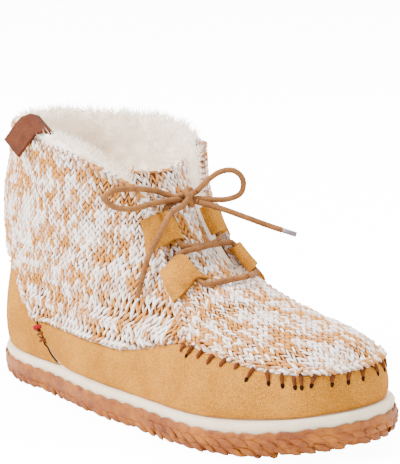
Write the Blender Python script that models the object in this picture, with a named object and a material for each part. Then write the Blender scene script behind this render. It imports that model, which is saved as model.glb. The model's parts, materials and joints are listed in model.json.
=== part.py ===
"""Moccasin ankle boot for the right foot, built as the pieces that a maker would put together.

The toe points along +X, the lateral side is -Y, and Z is up from the floor.
The upper's pieces are all cut from one last function: a stack of rings that starts at the
feather line, where the upper meets the sole, and climbs to the collar.
"""

import math

import bmesh
import bpy
from mathutils import Matrix, Vector

# Driving sizes, in metres
SOLE_LENGTH = 0.259
BALL_WIDTH = 0.099
HEEL_WIDTH = 0.0715
UPPER_HEIGHT = 0.121
TOE_SPRING = 0.007
SPRING_START = 0.70
TOE_BEND = 0.0028
HEEL_BEVEL = 0.0038

OUTSOLE_FLOOR = 0.0075
OUTSOLE_RIM = 0.0112
MIDSOLE_TOP = 0.0165
RIM_WALL = 0.0013
RIM_WAVE = 0.0005
LUG_DEPTH = 0.0022
TREAD_RECESS = 0.0014
LUG_BAND = 0.0085
LUGS_PER_SIDE = 17
LUG_PATTERN = (0.00, 0.13, 0.26, 0.63)
NOTCH_AT = 1

FIT_GAP = 0.0003
SOLE_EDGE = 0.0047
SHELL_WALL = 0.0026
FLEECE_WALL = 0.0058
FLEECE_RISE = 0.0035
QUARTER_WALL = 0.0028
VAMP_WALL = 0.0018
SUEDE_WALL = 0.0016
TONGUE_WALL = 0.0034
TONGUE_CLEARANCE = 0.0006
INSOLE_THICKNESS = 0.0040

LACE_DIAMETER = 0.0029
TAB_LEATHER = 0.0012
LOOP_WIDTH = 0.0170
LOOP_LEATHER = 0.0016
LOOP_COLUMN = 8.7
LOOP_WAY = (
    (-0.0100, -0.0030), (-0.0098, 0.0036), (-0.0076, 0.0076), (-0.0030, 0.0092),
    (0.0016, 0.0078), (0.0046, 0.0036), (0.0070, -0.0006), (0.0092, -0.0044),
)
LOOP_TURN, LOOP_TILT = 8.0, -24.0
AGLET_LENGTH = 0.0078
AGLET_DIAMETER = 0.0026

LATERAL = -1
MEDIAL = 1

# One row for each ring of the last, from the feather line to the collar.
# back_x and front_x are shares of SOLE_LENGTH, back_z and front_z are shares of UPPER_HEIGHT,
# heel is a share of HEEL_WIDTH, the mid and ball half widths are shares of BALL_WIDTH,
# and the caps are the shares of the ring's own length that its two round ends take.
RING_COLUMNS = (
    "back_x", "back_z", "front_x", "front_z", "heel",
    "mid_lateral", "ball_lateral", "mid_medial", "ball_medial", "cap_back", "cap_front",
)
RINGS = (
    (0.016, 0.000, 0.975, 0.000, 0.434, 0.425, 0.480, 0.305, 0.455, 0.22, 0.29),
    (0.012, 0.060, 0.978, 0.055, 0.448, 0.437, 0.494, 0.325, 0.468, 0.22, 0.28),
    (0.016, 0.165, 0.964, 0.148, 0.448, 0.425, 0.468, 0.338, 0.446, 0.21, 0.27),
    (0.022, 0.250, 0.926, 0.218, 0.434, 0.408, 0.420, 0.345, 0.402, 0.21, 0.30),
    (0.034, 0.320, 0.852, 0.276, 0.428, 0.392, 0.376, 0.345, 0.356, 0.23, 0.36),
    (0.041, 0.400, 0.758, 0.332, 0.420, 0.376, 0.345, 0.342, 0.325, 0.26, 0.42),
    (0.042, 0.500, 0.664, 0.430, 0.420, 0.362, 0.325, 0.340, 0.312, 0.28, 0.44),
    (0.045, 0.620, 0.582, 0.565, 0.434, 0.356, 0.325, 0.342, 0.322, 0.31, 0.42),
    (0.057, 0.750, 0.534, 0.700, 0.448, 0.370, 0.350, 0.366, 0.352, 0.35, 0.38),
    (0.076, 0.880, 0.502, 0.820, 0.455, 0.398, 0.385, 0.396, 0.388, 0.42, 0.34),
    (0.092, 1.000, 0.482, 0.930, 0.470, 0.420, 0.420, 0.424, 0.424, 0.46, 0.30),
)
TOP_RING = len(RINGS) - 1
HEEL_AT, MID_AT, BALL_AT = 0.20, 0.50, 0.74

# The sole's own outline, in the shares that RINGS uses
SOLE_RING = dict(
    heel=0.497, mid_lateral=0.480, ball_lateral=0.525, mid_medial=0.350, ball_medial=0.500,
    cap_back=0.235, cap_front=0.275,
)

# Top edge of the suede as (share of SOLE_LENGTH, share of UPPER_HEIGHT), in side view
COUNTER_EDGE = (
    (0.000, 0.495), (0.060, 0.475), (0.120, 0.415), (0.151, 0.365), (0.175, 0.305),
    (0.195, 0.240), (0.212, 0.170),
)
MUDGUARD_EDGE = (
    (0.212, 0.170), (0.270, 0.176), (0.385, 0.168), (0.475, 0.164), (0.525, 0.168),
    (0.577, 0.191), (0.628, 0.225), (0.668, 0.249), (0.700, 0.246), (0.740, 0.227),
    (0.788, 0.207), (0.842, 0.184), (0.894, 0.162), (0.940, 0.146), (1.000, 0.140),
)
SEAM_SLANT = 0.070

# Front edge of the quarter in side view, as (share of UPPER_HEIGHT, share of SOLE_LENGTH)
QUARTER_EDGE = (
    (0.246, 0.686), (0.320, 0.638), (0.420, 0.580), (0.530, 0.543), (0.680, 0.508), (0.850, 0.458),
)
THROAT_RING = 5.9
BACK_RISE = 1.4
CORNER_RINGS = {-1: 8.7, 1: 9.3}
CORNER_SHARE = 0.30

SEAM_COLUMN, EDGE_COLUMN, FRONT_COLUMN = 7, 14, 23
SUEDE_ROWS, THROAT_ROWS, COLLAR_ROWS = 5, 4, 6
SUEDE_ROW = SUEDE_ROWS
THROAT_ROW = SUEDE_ROW + THROAT_ROWS
COLLAR_ROW = THROAT_ROW + COLLAR_ROWS
SHELL_EDGE_COLUMN = EDGE_COLUMN

# The tongue runs on from the vamp inside the throat: its span of rings, its half girth at the
# throat and at its top, and how far its top corners are rounded down, in rings
TONGUE_RINGS = (5.70, 9.35)
TONGUE_GIRTHS = (0.26, 0.34)
TONGUE_STEPS_ALONG, TONGUE_STEPS_ACROSS = 9, 12
TONGUE_TOP_ROUND = 0.9

# Eyelet tabs: middle and half width in rings at the quarter's edge, then at the fold
TAB_COLUMNS = ("name", "tail_ring", "tail_half", "tail_over", "fold_ring", "fold_half", "fold_y",
               "fold_offset")
TABS = (
    ("lower", 5.62, 0.54, 0.0008, 6.28, 0.31, 0.0160, 0.0048),
    ("upper", 7.16, 0.52, 0.0045, 7.52, 0.39, 0.0125, 0.0014),
)
CROSSING_RING, BAR_RING, BAR_HEIGHT = 6.93, 5.86, 0.0066
SIDES = (("lateral", LATERAL), ("medial", MEDIAL))

# The knot, and the way of each free cord from it: points in metres before the origin is set
KNOT = (0.1376, 0.0025, 0.1054)
KNOT_SIZE = (0.0105, 0.0085, 0.0090)
CORD_WAYS = {
    "bow_lateral": (
        (0.1346, -0.0050, 0.1069), (0.1316, -0.0155, 0.1113), (0.1279, -0.0283, 0.1136),
        (0.1258, -0.0379, 0.1133), (0.1246, -0.0417, 0.1102), (0.1269, -0.0393, 0.1065),
        (0.1322, -0.0324, 0.1046), (0.1352, -0.0197, 0.1060), (0.1362, -0.0064, 0.1062),
    ),
    "bow_medial": (
        (0.1411, 0.0045, 0.1097), (0.1453, 0.0077, 0.1150), (0.1508, 0.0121, 0.1194),
        (0.1552, 0.0167, 0.1193), (0.1571, 0.0203, 0.1145), (0.1559, 0.0199, 0.1080),
        (0.1512, 0.0155, 0.1051), (0.1462, 0.0101, 0.1050), (0.1428, 0.0066, 0.1053),
    ),
    "end_lateral": (
        (0.1400, -0.0052, 0.1030), (0.1431, -0.0160, 0.1012), (0.1447, -0.0262, 0.0912),
        (0.1421, -0.0304, 0.0821), (0.1421, -0.0354, 0.0706),
    ),
    "end_medial": (
        (0.1431, 0.0035, 0.1042), (0.1519, 0.0091, 0.1015), (0.1616, 0.0167, 0.0971),
        (0.1706, 0.0249, 0.0924), (0.1745, 0.0284, 0.0906),
    ),
}

# Numbers and curves

def ease(low, high, share):
    share = min(max(share, 0.0), 1.0)
    return low + (high - low) * share * share * (3.0 - 2.0 * share)


def mix(low, high, share):
    return low + (high - low) * share


def catmull(points, position):
    """Value or tuple at a float index into points, on a smooth curve through all of them."""
    index = min(max(int(math.floor(position)), 0), len(points) - 2)
    share = position - index
    p1, p2 = points[index], points[index + 1]
    p0 = points[index - 1] if index > 0 else tuple(2 * a - b for a, b in zip(p1, p2))
    last = index + 2 < len(points)
    p3 = points[index + 2] if last else tuple(2 * b - a for a, b in zip(p1, p2))
    made = []
    for a, b, c, d in zip(p0, p1, p2, p3):
        made.append(0.5 * (2 * b + (c - a) * share + (2 * a - 5 * b + 4 * c - d) * share ** 2
                           + (3 * b - a - 3 * c + d) * share ** 3))
    return tuple(made)


def along_edge(edge, share):
    """Second share of an edge curve where its first share is the given one."""
    if share <= edge[0][0]:
        return edge[0][1] + (share - edge[0][0]) * edge_slope(edge[0], edge[1])
    for index in range(len(edge) - 1):
        if share <= edge[index + 1][0]:
            span = edge[index + 1][0] - edge[index][0]
            return catmull(edge, index + (share - edge[index][0]) / span)[1]
    return edge[-1][1] + (share - edge[-1][0]) * edge_slope(edge[-2], edge[-1])


def edge_slope(first, second):
    return (second[1] - first[1]) / (second[0] - first[0])


def solve(function, low, high, steps=40):
    """Where a rising function crosses zero between low and high."""
    for _ in range(steps):
        middle = 0.5 * (low + high)
        if function(middle) < 0.0:
            low = middle
        else:
            high = middle
    return 0.5 * (low + high)


def spring_at(x):
    """How far the toe spring lifts the boot at x."""
    share = (x / SOLE_LENGTH - SPRING_START) / (1.0 - SPRING_START)
    return TOE_SPRING * max(share, 0.0) ** 2


def bend_at(x):
    """How far the toe leans to the medial side at x."""
    share = (x / SOLE_LENGTH - SPRING_START) / (1.0 - SPRING_START)
    return TOE_BEND * max(share, 0.0) ** 2


# The last

def half_width(share, ring, side):
    """Half width of a ring at a share of its length, before the round ends."""
    if side == LATERAL:
        mid, ball = ring["mid_lateral"] * BALL_WIDTH, ring["ball_lateral"] * BALL_WIDTH
    else:
        mid, ball = ring["mid_medial"] * BALL_WIDTH, ring["ball_medial"] * BALL_WIDTH
    heel = ring["heel"] * HEEL_WIDTH
    if share < MID_AT:
        width = ease(heel, mid, (share - HEEL_AT) / (MID_AT - HEEL_AT))
    else:
        width = ease(mid, ball, (share - MID_AT) / (BALL_AT - MID_AT))
    back = 1.0 - max(0.0, 1.0 - share / ring["cap_back"]) ** 2
    front = 1.0 - max(0.0, 1.0 - (1.0 - share) / ring["cap_front"]) ** 2
    return width * math.sqrt(max(back, 0.0) * max(front, 0.0))


def ring_at(level):
    return dict(zip(RING_COLUMNS, catmull(RINGS, level)))


def chord_share(girth):
    """Share of a ring's length that a share of its half girth reaches."""
    return 0.5 * (1.0 - math.cos(math.pi * girth))


def last_point(side, girth, level):
    """Point of the last, before the toe spring. girth runs from 0 at the back to 1 at the front."""
    ring = ring_at(level)
    share = chord_share(girth)
    x = mix(ring["back_x"], ring["front_x"], share) * SOLE_LENGTH
    z = mix(ring["back_z"], ring["front_z"], share) * UPPER_HEIGHT
    y = side * half_width(share, ring, side) + bend_at(x)
    return Vector((x, y, MIDSOLE_TOP + z))


def last_normal(side, girth, level):
    step = 0.004
    g0, g1 = max(girth - step, 0.0), min(girth + step, 1.0)
    l0, l1 = max(level - step * 10, 0.0), min(level + step * 10, TOP_RING)
    along = last_point(side, g1, level) - last_point(side, g0, level)
    if girth <= 0.0 or girth >= 1.0:
        along = Vector((0.0, along.y, 0.0))
    up = last_point(side, girth, l1) - last_point(side, girth, l0)
    normal = along.cross(up) if side == LATERAL else up.cross(along)
    return normal.normalized()


def surface(side, girth, level, offset=0.0):
    """Point on the last moved out by offset, with the toe spring."""
    normal = last_normal(side, girth, level)
    normal.z *= min(max(level, 0.0), 1.0)
    point = last_point(side, girth, level) + normal.normalized() * offset
    point.z += spring_at(point.x)
    return point


# The grid that every piece of the upper shares

def edge_girth(level):
    """Girth of the quarter's front edge on a ring."""
    ring = ring_at(level)

    def ahead(girth):
        share = chord_share(girth)
        z = mix(ring["back_z"], ring["front_z"], share)
        return mix(ring["back_x"], ring["front_x"], share) - along_edge(QUARTER_EDGE, z)

    return solve(ahead, 0.0, 1.0)


def column_girth(column, level):
    """Girth of a grid column on a ring."""
    front = edge_girth(level)
    if column <= SEAM_COLUMN:
        return front * SEAM_GIRTH * column / SEAM_COLUMN
    if column <= EDGE_COLUMN:
        share = (column - SEAM_COLUMN) / (EDGE_COLUMN - SEAM_COLUMN)
        return front * mix(SEAM_GIRTH, 1.0, share)
    return mix(front, 1.0, (column - EDGE_COLUMN) / (FRONT_COLUMN - EDGE_COLUMN))


def seam_girth():
    """Girth of the side seam's top as a share of the quarter's front edge."""
    x, z = MUDGUARD_EDGE[0]
    level = solve(lambda t: ring_at(t)["back_z"] - z, 0.0, TOP_RING)
    ring = ring_at(level)
    share = (x - ring["back_x"]) / (ring["front_x"] - ring["back_x"])
    return math.acos(1.0 - 2.0 * share) / math.pi / edge_girth(level)


SEAM_GIRTH = seam_girth()


def suede_level(column):
    """Ring of the suede's top edge at a column."""
    edge = COUNTER_EDGE if column <= SEAM_COLUMN else MUDGUARD_EDGE

    def above(level):
        point = last_point(LATERAL, column_girth(column, level), level)
        share_z = (point.z - MIDSOLE_TOP) / UPPER_HEIGHT
        return share_z - along_edge(edge, point.x / SOLE_LENGTH)

    return solve(above, 0.2, 9.0)


SUEDE_LEVELS = tuple(suede_level(column) for column in range(FRONT_COLUMN + 1))


def middle_level(column):
    back = max(1.0 - column / EDGE_COLUMN, 0.0)
    return THROAT_RING + BACK_RISE * back ** 2


def collar_level(side, column):
    """Ring of the collar edge: level round the leg, rounded down at the front corner."""
    share = min(column / EDGE_COLUMN, 1.0)
    over = max(share - (1.0 - CORNER_SHARE), 0.0) / CORNER_SHARE
    return mix(CORNER_RINGS[side], TOP_RING, math.sqrt(max(1.0 - over ** 2, 0.0)))


def grid_place(side, column, row):
    """(girth, level) of a grid point. Columns and rows may be floats."""
    low = int(math.floor(column))
    high = min(low + 1, FRONT_COLUMN)
    suede = mix(SUEDE_LEVELS[low], SUEDE_LEVELS[high], column - low)
    if row <= SUEDE_ROW:
        share = row / SUEDE_ROWS
        level = suede * share
        near_seam = 1.0 - abs(column - SEAM_COLUMN) / SEAM_COLUMN
        slant = ease(0.0, SEAM_SLANT, near_seam) * (1.0 - share)
        return min(column_girth(column, suede) + slant, 1.0), level
    middle = middle_level(column)
    if row <= THROAT_ROW:
        level = mix(suede, middle, (row - SUEDE_ROW) / THROAT_ROWS)
    else:
        level = mix(middle, collar_level(side, column), (row - THROAT_ROW) / COLLAR_ROWS)
    return column_girth(column, level), level


def grid_surface(side, column, row, offset):
    girth, level = grid_place(side, column, row)
    return surface(side, girth, level, offset)


# Meshes

def clear_scene():
    for found in list(bpy.data.objects):
        bpy.data.objects.remove(found, do_unlink=True)


def material(name, colour, roughness, metallic=0.0):
    made = bpy.data.materials.new(name)
    made.use_nodes = True
    shader = made.node_tree.nodes["Principled BSDF"]
    shader.inputs["Base Color"].default_value = (*colour, 1.0)
    shader.inputs["Roughness"].default_value = roughness
    shader.inputs["Metallic"].default_value = metallic
    return made


def finish(name, bm, finish_material, smooth_angle=50.0):
    """Turns a bmesh into a named object with outward faces."""
    bmesh.ops.remove_doubles(bm, verts=bm.verts, dist=1e-6)
    bmesh.ops.recalc_face_normals(bm, faces=bm.faces)
    if bm.calc_volume(signed=True) < 0.0:
        bmesh.ops.reverse_faces(bm, faces=bm.faces)
    bmesh.ops.triangulate(bm, faces=bm.faces)
    mesh = bpy.data.meshes.new(name)
    bm.to_mesh(mesh)
    bm.free()
    mesh.materials.append(finish_material)
    mesh.shade_smooth()
    mesh.set_sharp_from_angle(angle=math.radians(smooth_angle))
    made = bpy.data.objects.new(name, mesh)
    bpy.context.scene.collection.objects.link(made)
    return made


def skin(bm, grid, flip=False):
    """Quads over a grid of vertices."""
    for first, second in zip(grid, grid[1:]):
        for a, b, c, d in zip(first, first[1:], second, second[1:]):
            corners = list(dict.fromkeys((a, b, d, c)))
            if len(corners) > 2:
                bm.faces.new(reversed(corners) if flip else corners)


def panel(bm, outer, inner):
    """A closed sheet between two grids of points of the same shape."""
    tops = [[bm.verts.new(point) for point in line] for line in outer]
    lows = [[bm.verts.new(point) for point in line] for line in inner]
    skin(bm, tops)
    skin(bm, lows, flip=True)
    rims = (
        (tops[0], lows[0], True),
        (tops[-1], lows[-1], False),
        ([line[0] for line in tops], [line[0] for line in lows], False),
        ([line[-1] for line in tops], [line[-1] for line in lows], True),
    )
    for top, low, flip in rims:
        skin(bm, [top, low], flip=flip)


def overlay(name, columns, rows, low, high, finish_material):
    """A panel over the shell. columns is a list of (side, column) from one end to the other."""
    outer = [[grid_surface(side, column, row, high) for row in rows] for side, column in columns]
    inner = [[grid_surface(side, column, row, low) for row in rows] for side, column in columns]
    bm = bmesh.new()
    panel(bm, outer, inner)
    return finish(name, bm, finish_material)


def steps(start, end, inset=0.0):
    """Whole grid lines from start to end, with both ends moved in by inset grid steps."""
    made = [float(value) for value in range(start, end + 1)]
    made[0] += inset
    made[-1] -= inset
    return made


def outline_point(share, side, inset=0.0):
    """Point of the sole's outline in plan, moved in by inset."""
    x = share * SOLE_LENGTH
    y = side * half_width(share, SOLE_RING, side)
    step = 0.0008
    s0, s1 = max(share - step, 0.0), min(share + step, 1.0)
    dx = (s1 - s0) * SOLE_LENGTH
    dy = half_width(s1, SOLE_RING, side) - half_width(s0, SOLE_RING, side)
    length = math.hypot(dx, dy)
    if share <= 0.0 or share >= 1.0:
        inward = (1.0 if share <= 0.0 else -1.0, 0.0)
    else:
        inward = (dy / length, -side * dx / length)
    return Vector((x + inward[0] * inset, y + inward[1] * inset + bend_at(x)))


def outline_stations(lugs, pattern):
    """Shares of the sole's length round one side: the pattern once for each lug."""
    fine = [chord_share(index / 2000) for index in range(2001)]
    points = [outline_point(share, LATERAL) for share in fine]
    reach = [0.0]
    for first, second in zip(points, points[1:]):
        reach.append(reach[-1] + (second - first).length)
    made, index = [], 0
    for lug in range(lugs):
        for part in pattern:
            wanted = reach[-1] * (lug + part) / lugs
            while index < len(reach) - 2 and reach[index + 1] < wanted:
                index += 1
            made.append(fine[index])
    return made + [1.0]


def sole_loops(stations, profile):
    """Loops of the sole round both sides. profile gives (inset, z) for a station and its side."""
    loops = []
    round_trip = [(station, share, LATERAL) for station, share in enumerate(stations)]
    back = [(station, share, MEDIAL) for station, share in enumerate(stations)][1:-1]
    round_trip += reversed(back)
    for station, share, side in round_trip:
        loop = []
        for inset, z in profile(station, share):
            plan = outline_point(share, side, inset)
            loop.append(Vector((plan.x, plan.y, z + spring_at(plan.x))))
        loops.append(loop)
    return loops


def sole_solid(name, stations, profile, finish_material):
    """A solid whose side follows the outline and whose two faces are closed across it."""
    loops = sole_loops(stations, profile)
    bm = bmesh.new()
    grid = [[bm.verts.new(point) for point in loop] for loop in loops]
    skin(bm, grid + [grid[0]])
    last = len(stations) - 1
    for level, flip in ((0, True), (-1, False)):
        lateral = [grid[station][level] for station in range(last + 1)]
        medial = [grid[0][level]] + [grid[len(grid) - station][level] for station in range(1, last)]
        medial.append(grid[last][level])
        skin(bm, [lateral, medial], flip=flip)
    return finish(name, bm, finish_material, smooth_angle=35.0)


# Sole pieces

def build_outsole(rubber):
    stations = outline_stations(LUGS_PER_SIDE, LUG_PATTERN)

    def profile(station, share):
        notch = LUG_DEPTH if station % len(LUG_PATTERN) == NOTCH_AT else 0.0
        wave = RIM_WAVE * (-1.0) ** station
        arch = ease(0.0, 1.0, (share - 0.28) / 0.08) * ease(1.0, 0.0, (share - 0.50) / 0.08)
        bevel = HEEL_BEVEL * max(1.0 - share / 0.12, 0.0) ** 2
        return (
            (LUG_BAND, TREAD_RECESS * arch + 0.4 * bevel),
            (0.0034, notch + 0.8 * bevel),
            (0.0014, notch + 0.0016 + bevel),
            (0.0, 0.0070 + 0.2 * bevel),
            (0.0002, OUTSOLE_RIM - 0.0006 + wave),
            (0.0008, OUTSOLE_RIM + wave),
            (RIM_WALL, OUTSOLE_RIM - 0.0004 + wave),
            (RIM_WALL, OUTSOLE_FLOOR),
        )

    return sole_solid("outsole", stations, profile, rubber)


def build_midsole(foam):
    stations = outline_stations(LUGS_PER_SIDE, (0.0, 0.33, 0.67))
    side = RIM_WALL + FIT_GAP

    def profile(station, share):
        return (
            (side, OUTSOLE_FLOOR + FIT_GAP),
            (side, OUTSOLE_RIM + 0.0010),
            (side - 0.0007, MIDSOLE_TOP - 0.0022),
            (side + 0.0001, MIDSOLE_TOP - 0.0007),
            (side + 0.0012, MIDSOLE_TOP - FIT_GAP),
        )

    return sole_solid("midsole", stations, profile, foam)


def build_insole(felt):
    bm = bmesh.new()
    inset = -(SHELL_WALL + 2.0 * FIT_GAP)
    lifts = (FIT_GAP, INSOLE_THICKNESS)
    rings = []
    for lift in lifts:
        ring = []
        for side, columns in ((LATERAL, range(0, FRONT_COLUMN + 1)),
                              (MEDIAL, range(FRONT_COLUMN - 1, 0, -1))):
            for column in columns:
                girth, _ = grid_place(side, column, 0)
                point = last_point(side, girth, 0.0) + last_normal(side, girth, 1.0) * inset
                z = MIDSOLE_TOP + lift + spring_at(point.x)
                ring.append(bm.verts.new((point.x, point.y, z)))
        rings.append(ring)
    skin(bm, [rings[0] + rings[0][:1], rings[1] + rings[1][:1]])
    for ring, flip in ((rings[0], True), (rings[1], False)):
        lateral = ring[:FRONT_COLUMN + 1]
        medial = [ring[0]] + list(reversed(ring[FRONT_COLUMN + 1:])) + [ring[FRONT_COLUMN]]
        skin(bm, [lateral, medial], flip=flip)
    return finish("insole", bm, felt)


# Upper pieces

def shell_wall(row):
    """Thickness of the shell: the fleece fills out towards the collar."""
    return ease(SHELL_WALL, FLEECE_WALL, (row - SUEDE_ROW) / (COLLAR_ROW - SUEDE_ROW))


def shell_columns():
    """Columns right round the shell, from the back along the lateral side and home again."""
    lateral = [(LATERAL, column) for column in range(FRONT_COLUMN + 1)]
    medial = [(MEDIAL, column) for column in range(FRONT_COLUMN - 1, 0, -1)]
    return lateral + medial


def build_upper(fleece):
    """The hollow shell, open below at the sole, above at the collar and in front at the throat."""
    bm = bmesh.new()
    columns = shell_columns()
    outer, inner = [], []
    for side, column in columns:
        in_throat = column > SHELL_EDGE_COLUMN
        last_row = THROAT_ROW if in_throat else COLLAR_ROW
        outer_line, inner_line = [], []
        for row in range(last_row + 1):
            wall = shell_wall(row)
            outer_line.append(grid_surface(side, column, row, 0.0))
            inner_line.append(grid_surface(side, column, row, -wall))
        if not in_throat:
            lift = Vector((0.0, 0.0, FLEECE_RISE))
            outer_line.append(grid_surface(side, column, COLLAR_ROW, -0.25 * FLEECE_WALL) + lift)
            inner_line.append(grid_surface(side, column, COLLAR_ROW, -0.75 * FLEECE_WALL) + lift)
        outer.append([bm.verts.new(point) for point in outer_line])
        inner.append([bm.verts.new(point) for point in inner_line])
    count = len(columns)
    for index in range(count):
        following = (index + 1) % count
        rows = min(len(outer[index]), len(outer[following]))
        skin(bm, [outer[index][:rows], outer[following][:rows]])
        skin(bm, [inner[index][:rows], inner[following][:rows]], flip=True)
        skin(bm, [[outer[index][0], inner[index][0]], [outer[following][0], inner[following][0]]],
             flip=True)
        top = [[outer[index][rows - 1], inner[index][rows - 1]],
               [outer[following][rows - 1], inner[following][rows - 1]]]
        skin(bm, top)
        for near, far, flip in ((index, following, False), (following, index, True)):
            if len(outer[near]) > rows:
                skin(bm, [outer[near][rows - 1:], inner[near][rows - 1:]], flip=flip)
    return finish("upper", bm, fleece)


def build_quarters(knit):
    rows = steps(SUEDE_ROW, COLLAR_ROW)
    rows[0] += 0.20
    rows[-1] -= 0.03
    for name, side in SIDES:
        columns = [(side, column) for column in steps(0, EDGE_COLUMN)]
        columns[0] = (side, 0.03)
        if side == MEDIAL:
            columns.reverse()
        overlay("quarter_" + name, columns, rows, FIT_GAP, FIT_GAP + QUARTER_WALL, knit)


def build_vamp(knit):
    lateral = [(LATERAL, column) for column in steps(EDGE_COLUMN, FRONT_COLUMN)]
    medial = [(MEDIAL, column) for column in steps(EDGE_COLUMN, FRONT_COLUMN)[:-1]]
    lateral[0] = (LATERAL, EDGE_COLUMN + 0.08)
    medial[0] = (MEDIAL, EDGE_COLUMN + 0.08)
    rows = steps(SUEDE_ROW, THROAT_ROW)
    rows[0] += 0.16
    overlay("vamp", lateral + medial[::-1], rows, FIT_GAP, FIT_GAP + VAMP_WALL, knit)


def build_suede(suede):
    """The counter round the heel and the mudguard round the toe, parted at the side seams."""
    rows = steps(0, SUEDE_ROW, 0.03)
    rows[-1] -= 0.03
    counter = [(LATERAL, column) for column in range(SEAM_COLUMN, -1, -1)]
    counter += [(MEDIAL, column) for column in range(1, SEAM_COLUMN + 1)]
    counter[0] = (LATERAL, SEAM_COLUMN - 0.03)
    counter[-1] = (MEDIAL, SEAM_COLUMN - 0.03)
    guard = [(LATERAL, column) for column in range(SEAM_COLUMN, FRONT_COLUMN + 1)]
    guard += [(MEDIAL, column) for column in range(FRONT_COLUMN - 1, SEAM_COLUMN - 1, -1)]
    guard[0] = (LATERAL, SEAM_COLUMN + 0.03)
    guard[-1] = (MEDIAL, SEAM_COLUMN + 0.03)
    overlay("counter", counter[::-1], rows, FIT_GAP, FIT_GAP + SUEDE_WALL, suede)
    overlay("mudguard", guard, rows, FIT_GAP, FIT_GAP + SUEDE_WALL, suede)


def tongue_point(along, across, depth):
    """Point of the tongue: along from 0 at the throat to 1 at its top, across from -1 to 1."""
    side = MEDIAL if across > 0.0 else LATERAL
    top = TONGUE_RINGS[1] - TONGUE_TOP_ROUND * across ** 4
    level = mix(TONGUE_RINGS[0], top, along)
    girth = 1.0 - abs(across) * mix(*TONGUE_GIRTHS, along)
    wall = ease(SHELL_WALL, FLEECE_WALL, mix(0.4, 1.0, (level - THROAT_RING) / 3.0))
    return surface(side, girth, level, -(wall + TONGUE_CLEARANCE + depth))


def build_tongue(knit):
    shares = [step / TONGUE_STEPS_ALONG for step in range(TONGUE_STEPS_ALONG + 1)]
    across = [2.0 * step / TONGUE_STEPS_ACROSS - 1.0 for step in range(TONGUE_STEPS_ACROSS + 1)]
    outer = [[tongue_point(along, side, 0.0) for along in shares] for side in across]
    inner = [[tongue_point(along, side, TONGUE_WALL) for along in shares] for side in across]
    bm = bmesh.new()
    panel(bm, outer, inner)
    return finish("tongue", bm, knit)


# Tabs, label and lace

def near_ridge(side, level, y):
    """Girth at which a ring comes within y of the middle."""
    return solve(lambda girth: y - abs(last_point(side, girth, level).y), 0.6, 1.0)


def tab_frame(side, tab, place, distance, rise):
    """Point of a tab: place from -1 to 1 up the throat, distance from the fold to the tail."""
    row = dict(zip(TAB_COLUMNS, tab))
    fold_level = row["fold_ring"] + place * row["fold_half"]
    fold_girth = near_ridge(side, fold_level, row["fold_y"])
    middle = surface(side, fold_girth, fold_level, row["fold_offset"])
    beside = surface(side, fold_girth - 0.01, fold_level, row["fold_offset"])
    run = beside - middle
    hole = LACE_DIAMETER / 2 + 2.0 * FIT_GAP
    if distance <= hole + TAB_LEATHER:
        across = run.normalized()
        return middle + across * distance + last_normal(side, fold_girth, fold_level) * rise
    near = fold_girth - 0.01 * (hole + TAB_LEATHER) / run.length
    share = (distance - hole - TAB_LEATHER) / (tab_reach(side, row) - hole - TAB_LEATHER)
    tail_level = row["tail_ring"] + place * row["tail_half"]
    level = mix(fold_level, tail_level, share)
    tail = edge_girth(tail_level) - row["tail_over"] / run.length * 0.01
    high = FIT_GAP + QUARTER_WALL + 3.0 * FIT_GAP + TAB_LEATHER
    offset = mix(row["fold_offset"], high, min(share / 0.35, 1.0))
    return surface(side, mix(near, tail, share), level, offset + rise)


def tab_reach(side, row):
    """Length of a tab from its fold to its tail, over the quarter's edge."""
    fold = surface(side, near_ridge(side, row["fold_ring"], row["fold_y"]), row["fold_ring"])
    edge = surface(side, edge_girth(row["tail_ring"]), row["tail_ring"])
    return (edge - fold).length * 0.92 + row["tail_over"]


def build_tab(name, side, tab, suede):
    """A folded suede loop: two layers at the tail and an open fold that the lace runs through."""
    hole = LACE_DIAMETER / 2 + 2.0 * FIT_GAP
    outer = hole + TAB_LEATHER
    reach = tab_reach(side, dict(zip(TAB_COLUMNS, tab)))
    turns = [math.radians(angle) for angle in range(150, -151, -30)]
    outline = [(-outer * math.cos(turn), -outer * math.sin(turn)) for turn in turns]
    inline = [(-hole * math.cos(turn), -hole * math.sin(turn)) for turn in turns]
    shares = (0.30, 0.50, 0.75, 1.0)
    for rise, run in ((TAB_LEATHER, shares), (-TAB_LEATHER, shares[::-1])):
        for share in run:
            outline.append((reach * share, rise))
            turn = math.radians(25.0 - 20.0 * share)
            inline.append((hole * math.cos(turn), math.copysign(hole * math.sin(turn), rise)))
    places = (-1.0, 0.0, 1.0)
    bm = bmesh.new()
    grids = []
    for loop in (outline, inline):
        grids.append([[bm.verts.new(tab_frame(side, tab, place, *point)) for place in places]
                      for point in loop + loop[:1]])
    for grid in grids:
        grid[-1] = grid[0]
        skin(bm, grid)
    for end in (0, -1):
        skin(bm, [[line[end] for line in grids[0]], [line[end] for line in grids[1]]])
    for vert in [vert for vert in bm.verts if not vert.link_faces]:
        bm.verts.remove(vert)
    return finish(name, bm, suede, smooth_angle=35.0)


def centripetal(p0, p1, p2, p3, share):
    """Point between p1 and p2 on a curve that doesn't overshoot where points are close."""
    t0 = 0.0
    t1 = t0 + max((p1 - p0).length, 1e-6) ** 0.5
    t2 = t1 + max((p2 - p1).length, 1e-6) ** 0.5
    t3 = t2 + max((p3 - p2).length, 1e-6) ** 0.5
    t = mix(t1, t2, share)
    a1 = p0.lerp(p1, (t - t0) / (t1 - t0))
    a2 = p1.lerp(p2, (t - t1) / (t2 - t1))
    a3 = p2.lerp(p3, (t - t2) / (t3 - t2))
    b1 = a1.lerp(a2, (t - t0) / (t2 - t0))
    b2 = a2.lerp(a3, (t - t1) / (t3 - t1))
    return b1.lerp(b2, (t - t1) / (t2 - t1))


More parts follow.
